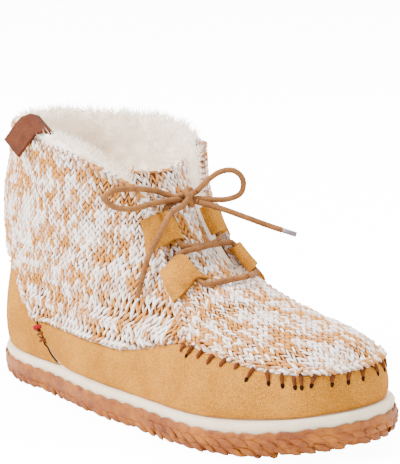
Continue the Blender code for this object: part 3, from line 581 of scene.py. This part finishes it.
# the boot's outline at one height, from the middle of the heel forwards
def levelLine(side, tree, height):
    ways, points = [], []
    for number in range(heelPath["count"]):
        origin, toward = heelRay(side, number * heelPath["step"])
        hit = fromOutside(tree, origin + height, toward)
        if hit:
            ways.append(number * heelPath["step"])
            points.append(hit[0])
        elif points:
            break
    return ways, points


def quarterGrid(side, plan):
    name = "quarter_" + sideNames[side]
    outer, own = treeOf(name, "counter", "mudguard", "upper", "vamp"), treeOf(name)
    low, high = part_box(name)
    grid = []
    for j in range(int((high.z - low.z) / plan["course"]) + 1):
        height = Vector((0, 0, low.z + (j + 0.6) * plan["course"]))
        ways, points = levelLine(side, outer, height)
        row = []
        for position in evenly(points, plan["wale"], plan["wale"] * 0.5):
            at = int(position)
            origin, toward = heelRay(side, ways[at] + (position - at) * heelPath["step"])
            hit = fromOutside(own, origin + height, toward)
            seen = hit and (hit[0] - between(points, position)).length < plan["ownWithin"]
            row.append(hit if seen else None)
        grid.append(row)
    return grid


# top and bottom edges of a quarter, from the heel forwards, as points with their normals
def quarterEdges(side, slices=90, halvings=7):
    own = treeOf("quarter_" + sideNames[side])
    low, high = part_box("quarter_" + sideNames[side])
    edges = {"top": [], "bottom": []}
    for number in range(heelPath["count"]):
        origin, toward = heelRay(side, number * heelPath["step"])

        def castAt(height):
            return fromOutside(own, origin + upwards * height, toward)

        heights = [low.z + (high.z - low.z) * i / slices for i in range(slices + 1)]
        hits = [(height, castAt(height)) for height in heights]
        hits = [(height, hit) for height, hit in hits if hit]
        if not hits:
            continue
        for (height, hit), edge, move in ((hits[-1], "top", 1), (hits[0], "bottom", -1)):
            step = (high.z - low.z) / slices
            for _ in range(halvings):
                step /= 2
                trial = castAt(height + move * step)
                if trial:
                    height, hit = height + move * step, trial
            edges[edge].append(hit)
    return edges


# where rays from all round a line inside the forefoot meet a tree at one x
def fanAt(tree, x, level=0.028, far=0.12):
    hits = []
    for number in range(-100, 101):
        angle = math.radians(number * 0.95)
        toward = Vector((0, -math.sin(angle), -math.cos(angle)))
        hits.append(fromOutside(tree, Vector((x, 0, level)) - toward * far, toward, far))
    return [hit for hit in hits if hit]


def fanRow(outer, own, x, spacing, half=14, ownWithin=0.0006):
    hits = fanAt(outer, x)
    if len(hits) < 3:
        return []
    middle = min(range(len(hits)), key=lambda i: abs(hits[i][0].y))
    row = {}
    for sign, run in ((1, hits[middle:]), (-1, hits[middle::-1])):
        line = [hit[0] for hit in run]
        for number, position in enumerate(evenly(line, spacing, spacing * 0.5)):
            point = between(line, position)
            if own.find_nearest(point, ownWithin)[0] is not None:
                row[sign * (number + 0.5)] = (point, run[int(position)][1])
    return [row.get(k + 0.5 - half) for k in range(2 * half)]


def vampGrid(plan):
    own, outer = treeOf("vamp"), treeOf("vamp", "tongue", "upper")
    low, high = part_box("vamp")
    ridge = [fromOutside(outer, Vector((low.x + number * 0.0003, 0, 0.2)), downwards)
             for number in range(400)]
    ridge = [hit[0] for hit in ridge if hit]
    grid = [fanRow(outer, own, between(ridge, position).x, plan["wale"])
            for position in evenly(ridge, plan["course"], plan["course"] * 0.4)]
    fans = [fanAt(own, low.x + 0.0002 + number * (high.x - low.x - 0.0003) / 229)
            for number in range(230)]
    fans = [hits for hits in fans if hits]
    return grid[::-1], [hits[0] for hits in fans] + [hits[-1] for hits in reversed(fans)]


# stitches on the tongue, and on the lining where it shows bare beside the tongue
def tongueGrid(plan):
    own, lining = treeOf("tongue"), treeOf("upper")
    everything = treeOf("tongue", "upper", "quarter_lateral", "quarter_medial", "vamp")
    start, way, out = (Vector(plan[k]) for k in ("tongueStart", "tongueWay", "tongueOut"))

    def castAt(tree, along, y):
        return fromOutside(tree, start + way * along + out * 0.1 + Vector((0, y, 0)), -out, 0.2)

    grid, top = [], []
    for j in range(plan["tongueRows"]):
        row = []
        for k in range(2 * plan["tongueHalf"]):
            y = (k + 0.5 - plan["tongueHalf"]) * plan["wale"]
            hit, first = (castAt(tree, j * plan["course"], y) for tree in (own, everything))
            bare = (not hit and first and first[0].z < plan["bareBelow"]
                    and lining.find_nearest(first[0], 0.0004)[0] is not None)
            row.append(first if bare else hit)
        grid.append(row)
    for k in range(-40, 41):
        hits = [castAt(own, j * 0.0004, k * 0.0007) for j in range(260)]
        top += [hit for hit in hits if hit][-1:]
    return grid, top


# a cast-off edge: pairs of strands that lie along the edge like a plait
def chainPlaces(edge, plan, rng, inward, lift, size):
    points, spacing = [hit[0] for hit in edge], plan["chainSpacing"]
    places, tones = [], []
    for position in evenly(points, spacing, spacing * 0.5):
        point, at, along = spotOn(points, position)
        out = edge[at][1]
        across = along.cross(out).normalized()
        blotch = plan["chainTone"] + plan["chainBlotch"] * patch(point, plan["patchSize"], 3.1)
        blotch += varied(rng, plan["chainToneSpread"])
        for hand in (-1, 1):
            tilt = plan["chainTilt"] * hand + varied(rng, plan["tiltSpread"])
            way = along * math.cos(tilt) + across * math.sin(tilt)
            wide = way.cross(out).normalized()
            radius = plan["legRadius"] * size * (1 + 0.3 * patch(point, 0.005, 4.0 + hand))
            middle = point + across * (hand * plan["chainApart"] + inward)
            places.append((middle + out * (plan["chainLift"] + lift), wide * radius,
                           way * spacing * 0.85, out * radius))
            tones.append(inRange(blotch + varied(rng, plan["chainStrandSpread"])))
    return places, tones


def addKnitPiece(name, grid, chains, plan, rng):
    places, tones = stitchPlaces(grid, plan, rng)
    for edge, inward, lift, size in chains:
        more = chainPlaces(edge, plan, rng, inward, lift, size)
        places += more[0]
        tones += more[1]
    settle(copiesOf(name, legShape, places, tones), "yarn", "marled_knit")
    print(name, len(places), "strands")


def addKnit(plan):   # gives back the vamp's rim for the whip stitches
    rng = random.Random(plan["seed"])
    for side, sideName in sideNames.items():
        edges = quarterEdges(side)
        chains = [(edges[edge], inward * side, lift, size)
                  for edge, inward, lift, size in plan["quarterChains"]]
        name = "knitQuarter" + sideName.capitalize()
        addKnitPiece(name, quarterGrid(side, plan), chains, plan, rng)
    grid, rim = vampGrid(plan)
    addKnitPiece("knitVamp", grid, [(rim, *plan["vampChain"])], plan, rng)
    grid, top = tongueGrid(plan)
    addKnitPiece("knitTongue", grid, [(top, *plan["tongueChain"])], plan, rng)
    return rim


# the outer face of a backing moves inwards, so that the strands lie level with the solid
def sunken(piece, depth):
    lining = treeOf("upper")
    for vertex in piece.data.vertices:
        if lining.find_nearest(vertex.co, 0.0012)[0] is None:
            vertex.co -= vertex.normal * depth


legShape = makeLeg()
vampRim = addKnit(knit)
# backings under the strands, coloured dark brown as painted shade in the holes between stitches
for nodeName in ("quarter_lateral", "quarter_medial", "vamp", "tongue"):
    paintedShadeBacking = solidCopy(nodeName, nodeName.replace("_", "") + "BackingPaintedShade")
    sunken(paintedShadeBacking, knit["backingDepth"])
    settle(paintedShadeBacking, "paintedShadeBacking", "marled_knit", nodeName)


suede = {
    "stitchSpacing": 0.0080, "stitchFrom": 0.045, "puckerDepth": 0.0010, "puckerWidth": 0.0014,
    "puckerReach": 0.0045, "puckerWithin": 0.02, "bulge": 0.0006, "waveSize": 0.02,
    "waveDepth": 0.0003,
    "creases": (   # from, to, width, depth
        ((-0.052, -0.040, 0.034), (-0.020, -0.046, 0.020), 0.0040, -0.0006),
        ((-0.012, -0.042, 0.031), (0.012, -0.046, 0.020), 0.0045, 0.0005),
        ((0.020, -0.046, 0.028), (0.034, -0.048, 0.018), 0.0040, -0.0005),
        ((-0.100, -0.032, 0.046), (-0.086, -0.036, 0.026), 0.0045, -0.0005),
        ((-0.040, 0.040, 0.034), (-0.010, 0.046, 0.020), 0.0045, -0.0006),
        ((0.016, 0.044, 0.029), (0.032, 0.047, 0.018), 0.0040, 0.0005),
    ),
}


def creaseShift(point, creases):
    shift = 0.0
    for start, end, width, depth in creases:
        start, end = Vector(start), Vector(end)
        share = inRange((point - start).dot(end - start) / (end - start).length_squared)
        apart = (point - start.lerp(end, share)).length / width
        shift += depth * math.exp(-apart ** 2)
    return shift


def whipSpots(rim, plan):   # point, along and out of each stitch on the forefoot
    points, spots = [hit[0] for hit in rim], []
    for position in evenly(points, plan["stitchSpacing"], plan["stitchSpacing"] * 0.4):
        point, at, along = spotOn(points, position)
        if point.x >= plan["stitchFrom"]:
            spots.append((point, along, rim[at][1]))
    return spots


# suede that dips at each stitch, swells between them and creases at the flex of the foot
def pucker(piece, plan):
    for vertex in piece.data.vertices:
        point, normal = vertex.co, vertex.normal
        spot, along, out = min(whips, key=lambda w: (w[0] - point).length_squared)
        apart = point - spot
        shift = plan["waveDepth"] * patch(point, plan["waveSize"], 5.0)
        shift += creaseShift(point, plan["creases"])
        if apart.length < plan["puckerWithin"] and normal.dot(out) > 0.0:
            side = apart.dot(along)
            fade = math.exp(-((apart - along * side).length / plan["puckerReach"]) ** 2)
            near = math.exp(-(side / plan["puckerWidth"]) ** 2)
            shift += fade * (plan["bulge"] * (1 - near) - plan["puckerDepth"] * near)
        vertex.co = point + normal * shift
    piece.data.update()


whips = whipSpots(vampRim, suede)
mudguard, counter = (subdivided(solidCopy(nodeName, "suede" + nodeName.capitalize()), 2)
                     for nodeName in ("mudguard", "counter"))
for piece, nodeName in ((mudguard, "mudguard"), (counter, "counter")):
    pucker(piece, suede)
    settle(piece, "suede", "tan_suede", nodeName)
for sideName in ("lateral", "medial"):
    for place in ("lower", "upper"):
        nodeName = "tab_" + sideName + "_" + place
        name = "suedeTab" + sideName.capitalize() + place.capitalize()
        settle(solidCopy(nodeName, name, quads=False), "suede", "tan_suede", nodeName)
print("suede ready")


whip = {
    "shares": (-0.1, 0.2, 0.45, 0.7, 0.95, 1.2), "taper": (0.9, 1.0, 1.0, 0.9, 0.75, 0.55),
    "reach": 0.0054, "back": 0.0012, "away": 0.0015, "hump": 0.0009, "radius": 0.00105,
    "hole": (0.00095, 0.0016, 0.0006), "toeCentre": 0.055,
}


def addWhipStitches(plan):
    surface = treeOf(mudguard)
    cords, holes = [], []
    for spot, along, out in whips:
        away = levelWay(max(spot.x - plan["toeCentre"], 0), spot.y)
        down = downwards + away * 0.6
        down = (down - along * down.dot(along)).normalized()
        back = along if along.x < 0 else -along
        line = []
        for share in plan["shares"]:
            guess = spot + down * (share * plan["reach"]) + back * (share * plan["back"])
            near, normal = surface.find_nearest(guess + away * plan["away"])[:2]
            normal = normal if normal.dot(out + away) > 0 else -normal
            hump = plan["hump"] * (1 - (share / plan["shares"][-1]) ** 2)
            line.append(near + normal * (hump - 0.0001))
        cords.append(curveTube("whip", line, plan["radius"], 8, plan["taper"]))
        # painted shade: a near-black blob where each stitch goes into the suede
        way = (line[-1] - line[-2]).normalized()
        wide, long, deep = plan["hole"]
        holes.append((line[-1] + normal * 0.0002, way.cross(normal) * wide, way * long,
                      normal * deep))
    settle(joined(cords, "whipStitches"), "thread", "tan_lace")
    settle(copiesOf("whipHoleShade", ballShape(10, 6, False), holes), "paintedShade", "tan_suede")


addWhipStitches(whip)


seam = {
    "low": 0.0165, "high": 0.0375, "steps": 11, "groove": 0.00042, "thread": 0.00065,
    "redThread": 0.00120, "red": (0.82, 0.0036),         # share of the height and half length
    "crosses": ((0.66, 0.0026), (0.50, 0.0026)), "leans": (0.45, -0.5), "redLean": 0.35,
    "sink": -0.0002, "crossTop": 0.0008, "searchFrom": -0.090, "searchStep": 0.0004,
    "searchCount": 120,
}


def onSide(tree, x, z, side, lift):
    point, normal = tree.ray_cast(Vector((x, side * 0.2, z)), Vector((0, -side, 0)), 0.2)[:2]
    if point is None:
        point, normal = tree.find_nearest(Vector((x, side * 0.034, z)))[:2]
    return point + (normal if normal.y * side > 0 else -normal) * lift


# where the counter ends on one side of the boot, from the sole up
def seamLine(side, plan):
    heel, line = treeOf("counter"), []
    for number in range(plan["steps"] + 1):
        z = plan["low"] + (plan["high"] - plan["low"]) * number / plan["steps"]
        found = [x for x in (plan["searchFrom"] + plan["searchStep"] * n
                             for n in range(plan["searchCount"]))
                 if heel.ray_cast(Vector((x, side * 0.2, z)), Vector((0, -side, 0)), 0.2)[0]]
        if found:
            line.append(Vector((found[-1] + plan["searchStep"] / 2, 0, z)))
    return line


def addSeamStitches(plan):
    tree = treeOf(mudguard, counter)
    lines = {side: seamLine(side, plan) for side in sideNames}
    grooves, threads = [], []
    for side, line in lines.items():
        places = [onSide(tree, p.x, p.z, side, plan["sink"]) for p in line]
        # painted shade: a near-black tube along the seam stands for the shade in its groove
        grooves.append(curveTube("groove", places, plan["groove"], 6))
        for share, half in plan["crosses"]:
            at = between(line, share * (len(line) - 1))
            for lean in plan["leans"]:
                one, two = (onSide(tree, at.x + way * half, at.z + way * half * lean, side, 0.0)
                            for way in (-1, 1))
                knots = [one, onSide(tree, at.x, at.z, side, plan["crossTop"]), two]
                threads.append(curveTube("cross", knots, plan["thread"], 8, (0.7, 1.0, 0.7)))
    share, half = plan["red"]
    at = between(lines[lateral], share * (len(lines[lateral]) - 1))
    line = [onSide(tree, at.x + way * half, at.z + way * half * plan["redLean"], lateral,
                   0.0011 - 0.0014 * abs(way)) for way in (-1, -0.5, 0, 0.5, 1)]
    red = curveTube("red", line, plan["redThread"], 10, (0.6, 1.0, 1.0, 1.0, 0.6))
    settle(joined(grooves, "seamGrooveShade"), "paintedShade", "tan_suede")
    settle(joined(threads, "seamStitches"), "thread", "tan_lace")
    settle(joined([red], "redStitch"), "redThread", "tan_lace")


for nodeName, name, angle, finish, slotName in (
        ("outsole", "gumOutsole", 35, "gum", "gum_rubber"),
        ("midsole", "foamMidsole", 50, "foam", "cream_foam"),
        ("insole", "feltInsole", 50, "felt", "insole_felt")):
    settle(solidCopy(nodeName, name, angle), finish, slotName, nodeName)

tread = {
    "leafSpacing": 0.0070, "leafHalf": 0.0046, "leafWide": 0.0021, "leafRise": 0.0009,
    "leafRows": ((0.0024, -0.42, 0.0, -1.0), (0.0062, -0.30, 0.0034, 0.030)),
    "leafLevel": 0.0110,           # rows: height, slant, start and least x
    "scallopSpacing": 0.0107, "scallopLong": 0.58, "scallopWide": 0.0017, "scallopRise": 0.0008,
    "padSpacing": 0.0092, "padHalf": 0.0052, "padWide": 0.0026, "padTurn": 0.6,
    "scallopSink": 0.0006, "scallopUp": 0.0002, "scallopStart": 0.002, "wallWithin": 0.0022,
    "wallFrom": 0.004, "wallStep": 0.0005, "wallSteps": 34,
    "padLow": 0.0009, "padHigh": 0.003, "padRows": 30, "padColumns": 6, "padRowShare": 0.62,
    "padRoom": ((0.005, 0), (-0.005, 0), (0, 0.0035), (0, -0.0035)),
}
soleEnds = ((-0.086, 90, 0.001), (0.074, -90, -0.001))   # centre, first angle and step forwards


# the sole's outline at one height: heel, lateral side, toe and medial side
def soleLoop(tree, height, far=0.12):
    rays = []
    for centre, first, step in soleEnds:
        for number in range(181):
            angle = math.radians(first + number)
            rays.append((centre, Vector((math.cos(angle), math.sin(angle), 0))))
        for number in range(160):
            rays.append((centre + number * step, Vector((0, -1 if step > 0 else 1, 0))))
    hits = [fromOutside(tree, Vector((x, 0, height)) + way * far, -way, far) for x, way in rays]
    return [hit for hit in hits if hit]


def makeLeaf():
    points, faces = ballShape(8, 6)
    points[:, 0] *= np.sqrt(np.clip(1 - points[:, 1] ** 2, 0, 1)) * 0.9 + 0.1
    return points, faces


# pointed lugs on the side of the sole, at an equal height above its rising bottom edge
def leafPlaces(tree, plan):
    loop, places = soleLoop(tree, plan["leafLevel"]), []
    points = [hit[0] for hit in loop]
    for height, slant, start, leastX in plan["leafRows"]:
        for position in evenly(points, plan["leafSpacing"], start):
            point, at, around = spotOn(points, position)
            out = levelWay(*loop[at][1].xy)
            under = tree.ray_cast(point - out * 0.004 - upwards * 0.05, upwards)[0]
            if point.x < leastX or under is None:
                continue
            level = Vector((point.x, point.y, under.z + height))
            hit = fromOutside(tree, level + out * 0.05, -out, 0.1)
            if hit is None:
                continue
            point, out = hit
            along = around * math.cos(slant) + out.cross(around).normalized() * math.sin(slant)
            places.append((point, along.cross(out) * plan["leafWide"], along * plan["leafHalf"],
                           out * plan["leafRise"]))
    return places


# low swellings along the top of the gum wall, which is the highest outline that stands as far out
def scallopPlaces(tree, plan):
    loops = [soleLoop(tree, plan["wallFrom"] + plan["wallStep"] * n)
             for n in range(plan["wallSteps"])]
    low, points, places = loops[0], [], []
    for at in range(len(low)):
        near = [loop[at][0] for loop in loops
                if at < len(loop) and (loop[at][0] - low[at][0]).xy.length < plan["wallWithin"]]
        points.append(near[-1])
    for position in evenly(points, plan["scallopSpacing"], plan["scallopStart"]):
        point, at, around = spotOn(points, position, 6)
        out = levelWay(*low[at][1].xy)
        rise = out.cross(around).normalized()
        if rise.z < 0:
            rise = -rise
        places.append((point - out * plan["scallopSink"] + rise * plan["scallopUp"],
                       rise * plan["scallopWide"],
                       around * (plan["scallopSpacing"] * plan["scallopLong"]),
                       out * plan["scallopRise"]))
    return places


def padPlaces(tree, plan):   # under the sole, where there is room for a whole pad

    def heightAt(x, y):
        hit = tree.ray_cast(Vector((x, y, -0.05)), upwards)[0]
        return -1.0 if hit is None else hit.z

    places = []
    for row in range(-plan["padRows"], plan["padRows"] + 1):
        for column in range(-plan["padColumns"], plan["padColumns"] + 1):
            x = row * plan["padSpacing"] * plan["padRowShare"]
            y = (column + 0.5 * (row % 2)) * plan["padSpacing"]
            height = heightAt(x, y)
            room = all(heightAt(x + dx, y + dy) > plan["padLow"] for dx, dy in plan["padRoom"])
            if not plan["padLow"] <= height <= plan["padHigh"] or not room:
                continue
            turn = plan["padTurn"] if column % 2 else -plan["padTurn"]
            along = Vector((math.cos(turn), math.sin(turn), 0))
            places.append((Vector((x, y, height)), along.cross(downwards) * plan["padWide"],
                           along * plan["padHalf"], downwards * (height - 0.0001)))
    return places


leafShape, outsoleTree = makeLeaf(), treeOf("outsole")
for name, findPlaces in (("sideLeaves", leafPlaces), ("gumScallops", scallopPlaces),
                         ("treadPads", padPlaces)):
    places = findPlaces(outsoleTree, tread)
    settle(copiesOf(name, leafShape, places), "gum", "gum_rubber")
    print(name, len(places))


fleece = {
    "bladeLength": 0.0062, "bladeRadius": 0.00026, "blades": {   # count and share of the length
        "fleeceLining": (15000, 1.0), "fleeceRim": (16000, 0.95)},
    "seed": 5, "clump": 0.006, "flow": 1.5, "rise": 0.45, "stray": 0.3, "centreX": -0.06,
    "lowest": 0.045, "rimFrom": 0.095, "frontX": 0.03, "rimFrontX": 0.012,
    "baseFrom": 0.03, "baseTopFrom": 0.104, "baseLift": 0.0012, "root": 0.0003,
    "lengths": (0.6, 1.15), "radii": (0.8, 1.3), "toneSpread": 0.08, "labelRoom": 0.005,
    "palest": 0.95, "mottle": 0.12,
    "paintedShadeSpots": (   # painted shade where the collar is deep: place, reach and share
        ((-0.085, 0.016, 0.113), 0.013, 1.9), ((-0.058, 0.022, 0.098), 0.014, 0.6),
        ((-0.015, 0.010, 0.080), 0.012, 0.6)),
}


# 1 for the palest pile, lower with random mottling and with painted shade where the collar is deep
def fleeceToneAndShade(point, plan):
    tone = plan["palest"] - plan["mottle"] * (0.5 + patch(point, 0.009, 6.0))
    for middle, reach, share in plan["paintedShadeSpots"]:
        near = math.exp(-((point - Vector(middle)).length / reach) ** 2)
        tone -= share * near * (0.75 + 0.6 * patch(point, 0.006, 2.5))
    return inRange(tone)


def makeBlade():
    bpy.ops.mesh.primitive_cone_add(vertices=3, radius1=1.0, radius2=0.0, depth=1.0,
                                    end_fill_type="NOTHING")
    bpy.ops.object.mode_set(mode="EDIT")
    bpy.ops.mesh.select_all(action="SELECT")
    bpy.ops.mesh.bisect(plane_co=(0, 0, 0), plane_no=(0, 0, 1))
    bpy.ops.object.mode_set(mode="OBJECT")
    points, faces = readShape(bpy.context.object)
    points = points[:, [0, 2, 1]]
    points[:, 1] += 0.5
    points[:, 2] += 0.35 * points[:, 1] ** 2 / 0.03   # curls over, in radii
    return points, [tuple(reversed(face)) for face in faces]


# seeded places on the lining, spread evenly over the area that is wanted
def fleeceSpots(count, rng, wanted):
    mesh = nodes["upper"].data
    mesh.calc_loop_triangles()
    found, areas = [], []
    for triangle in mesh.loop_triangles:
        corners = [mesh.vertices[i].co for i in triangle.vertices]
        if wanted((corners[0] + corners[1] + corners[2]) / 3, triangle.normal):
            found.append((corners, triangle.normal.copy()))
            areas.append(triangle.area)
    for pick in rng.choices(range(len(found)), weights=areas, k=count):
        (one, two, three), normal = found[pick]
        a, b = rng.random(), rng.random()
        if a + b > 1:
            a, b = 1 - a, 1 - b
        yield one + (two - one) * a + (three - one) * b, normal


def addFleece(plan):
    shape, label, rng = makeBlade(), treeOf("pull_loop"), random.Random(plan["seed"])

    def inwardShare(point, normal):
        return normal.dot(levelWay(plan["centreX"] - point.x, -point.y))

    def inner(point, normal):
        return (point.z > plan["lowest"] and inwardShare(point, normal) > 0.2
                and point.x < plan["frontX"])

    def rim(point, normal):
        return (point.z > plan["rimFrom"] and (normal.z > 0.35 or inner(point, normal))
                and point.x < plan["rimFrontX"])

    for name, wanted in (("fleeceLining", inner), ("fleeceRim", rim)):
        count, length = plan["blades"][name]
        places, tones = [], []
        for point, normal in fleeceSpots(count, rng, wanted):
            if label.find_nearest(point + normal * 0.003, plan["labelRoom"])[0] is not None:
                continue   # the label stays clear of hairs
            flow = Vector([patch(point, plan["clump"], s) for s in (1.0, 4.0, 8.0)])
            stray = Vector([varied(rng, plan["stray"]) for _ in range(3)])
            way = (normal + flow * plan["flow"] + upwards * plan["rise"] + stray).normalized()
            side = way.orthogonal().normalized()
            side.rotate(Matrix.Rotation(rng.uniform(0, 6.28), 3, way))
            reach = plan["bladeLength"] * length * rng.uniform(*plan["lengths"])
            radius = plan["bladeRadius"] * rng.uniform(*plan["radii"])
            places.append((point - normal * plan["root"], side * radius, way * reach,
                           way.cross(side) * radius))
            tones.append(fleeceToneAndShade(point, plan) - rng.uniform(0.0, plan["toneSpread"]))
        settle(copiesOf(name, shape, places, tones), "fleece", "cream_fleece")
    base = subdivided(solidCopy("upper", "fleeceBase"), 1)
    for vertex in base.data.vertices:
        onTop = vertex.normal.z > 0.5 and vertex.co.z > plan["baseTopFrom"]
        inwards = inwardShare(vertex.co, vertex.normal) > 0.1
        if vertex.co.z > plan["baseFrom"] and (inwards or onTop):
            lift = plan["baseLift"] * (0.5 + patch(vertex.co, plan["clump"], 2.0))
            vertex.co += vertex.normal * lift
    facts = base.data.attributes.new("strand", "FLOAT_VECTOR", "POINT")
    for fact, vertex in zip(facts.data, base.data.vertices):
        fact.vector = (fleeceToneAndShade(vertex.co, plan), 0, 0)
    settle(base, "fleece", "cream_fleece", "upper")


addFleece(fleece)
print("fleece ready")


lace = {
    "diameter": 0.0029, "shift": (-0.1295, 0.0012, 0.0), "knot": (0.1376, 0.0022, 0.1060),
    "turnRadius": 0.0034, "turnRise": 0.0034, "turns": 1.12, "turnStart": 0.6, "turnSteps": 14,
    "intoTip": 0.0006,
    "ways": {
        "bow_lateral": (
            (0.1346, -0.0050, 0.1069), (0.1316, -0.0155, 0.1113), (0.1279, -0.0283, 0.1136),
            (0.1258, -0.0379, 0.1133), (0.1246, -0.0417, 0.1102), (0.1269, -0.0393, 0.1065),
            (0.1322, -0.0324, 0.1046), (0.1352, -0.0197, 0.1060), (0.1362, -0.0064, 0.1062)),
        "bow_medial": (
            (0.1411, 0.0045, 0.1097), (0.1453, 0.0077, 0.1150), (0.1508, 0.0121, 0.1194),
            (0.1552, 0.0167, 0.1193), (0.1571, 0.0203, 0.1145), (0.1559, 0.0199, 0.1080),
            (0.1512, 0.0155, 0.1051), (0.1462, 0.0101, 0.1050), (0.1428, 0.0066, 0.1053)),
        "end_lateral": (
            (0.1400, -0.0052, 0.1030), (0.1431, -0.0160, 0.1012), (0.1447, -0.0262, 0.0912),
            (0.1421, -0.0304, 0.0821), (0.1421, -0.0354, 0.0706)),
        "end_medial": (
            (0.1431, 0.0035, 0.1042), (0.1519, 0.0091, 0.1015), (0.1616, 0.0167, 0.0971),
            (0.1706, 0.0249, 0.0924), (0.1745, 0.0284, 0.0906)),
    },
}


# a smooth curve through the given points, with knots spaced as the points are, and its length
def smoothLine(points, spacing, steps=24):
    ghost = [points[0] * 2 - points[1]] + points + [points[-1] * 2 - points[-2]]
    fine = []

    def blend(one, two, start, end, t):
        return one * ((end - t) / (end - start)) + two * ((t - start) / (end - start))

    for at in range(1, len(ghost) - 2):
        p0, p1, p2, p3 = ghost[at - 1:at + 3]
        t0, t1 = 0.0, (p1 - p0).length ** 0.5
        t2 = t1 + (p2 - p1).length ** 0.5
        t3 = t2 + (p3 - p2).length ** 0.5
        for step in range(steps):
            t = t1 + (t2 - t1) * step / steps
            a1, a2 = blend(p0, p1, t0, t1, t), blend(p1, p2, t1, t2, t)
            a3 = blend(p2, p3, t2, t3, t)
            fine.append(blend(blend(a1, a2, t0, t2, t), blend(a2, a3, t1, t3, t), t1, t2, t))
    fine.append(points[-1].copy())
    length = sum((b - a).length for a, b in zip(fine, fine[1:]))
    count = max(int(round(length / spacing)), 3)
    positions = evenly(fine, length / count * 0.999999)
    return [between(fine, p) for p in positions], length


# two strands of the bow run through a turn of lace that is drawn tight round them
def addKnot(plan, ways):
    middle, reach = Vector(plan["knot"]) + Vector(plan["shift"]), plan["turnRadius"]
    one, two = ways["bow_lateral"], ways["bow_medial"]
    lateralEnd, medialEnd = ways["end_lateral"][0], ways["end_medial"][0]

    def beside(x, y, z):
        return middle + Vector((x, y, z))

    strands = [
        [one[0], one[0].lerp(middle, 0.55) + upwards * 0.0012, beside(0.0002, 0.0014, 0.0018),
         two[0]],
        [one[-1], beside(-0.0008, -0.0010, -0.0014), two[-1].lerp(middle, 0.4), two[-1]],
        [lateralEnd, lateralEnd.lerp(middle, 0.5) + Vector((0.0012, 0, 0.0012)),
         beside(0.0012, 0.0006, 0.0022)],
        [medialEnd, beside(0.0014, 0.0012, -0.0016), beside(-0.0014, 0, -0.0030)],
    ]
    axis = (two[0] - one[0]).normalized()
    side = upwards.cross(axis).normalized()
    rise = axis.cross(side)
    turn = []
    for step in range(plan["turnSteps"] + 1):
        share = step / plan["turnSteps"]
        angle = 2 * math.pi * plan["turns"] * share + plan["turnStart"]
        turn.append(middle + side * reach * math.cos(angle) + rise * reach * 1.1 * math.sin(angle)
                    + axis * plan["turnRise"] * (share - 0.5))
    tubes = [curveTube("strand", smoothLine(points, 0.0012)[0], plan["diameter"] / 2, 12)
             for points in strands + [turn]]
    settle(joined(tubes, "laceKnot"), "lace", "tan_lace", "knot")


def addLace(plan):
    ways = {name: [Vector(p) + Vector(plan["shift"]) for p in way]
            for name, way in plan["ways"].items()}
    for name, way in ways.items():
        kind, sideName = name.split("_")
        if kind == "end":
            way = way[:-1] + [way[-1] + (way[-1] - way[-2]).normalized() * plan["intoTip"]]
        points, length = smoothLine(way, plan["diameter"] * 0.55)
        piece = curveTube("lace" + kind.capitalize() + sideName.capitalize(), points,
                          plan["diameter"] / 2, 12)
        settle(piece, "lace", "tan_lace", name)
        if kind == "end":
            tip = solidCopy("aglet_" + sideName, "laceTip" + sideName.capitalize(), 40, False)
            settle(tip, "lace" if sideName == "lateral" else "tip", "lace_tip", "aglet_" + sideName)
        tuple(points[0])
    addKnot(plan, ways)
    settle(solidCopy("lace_bars", "laceBars", 60, False), "lace", "tan_lace", "lace_bars")


addLace(lace)
addSeamStitches(seam)
settle(solidCopy("pull_loop", "leatherLoop"), "leather", "brown_leather", "pull_loop")
print("lace ready")
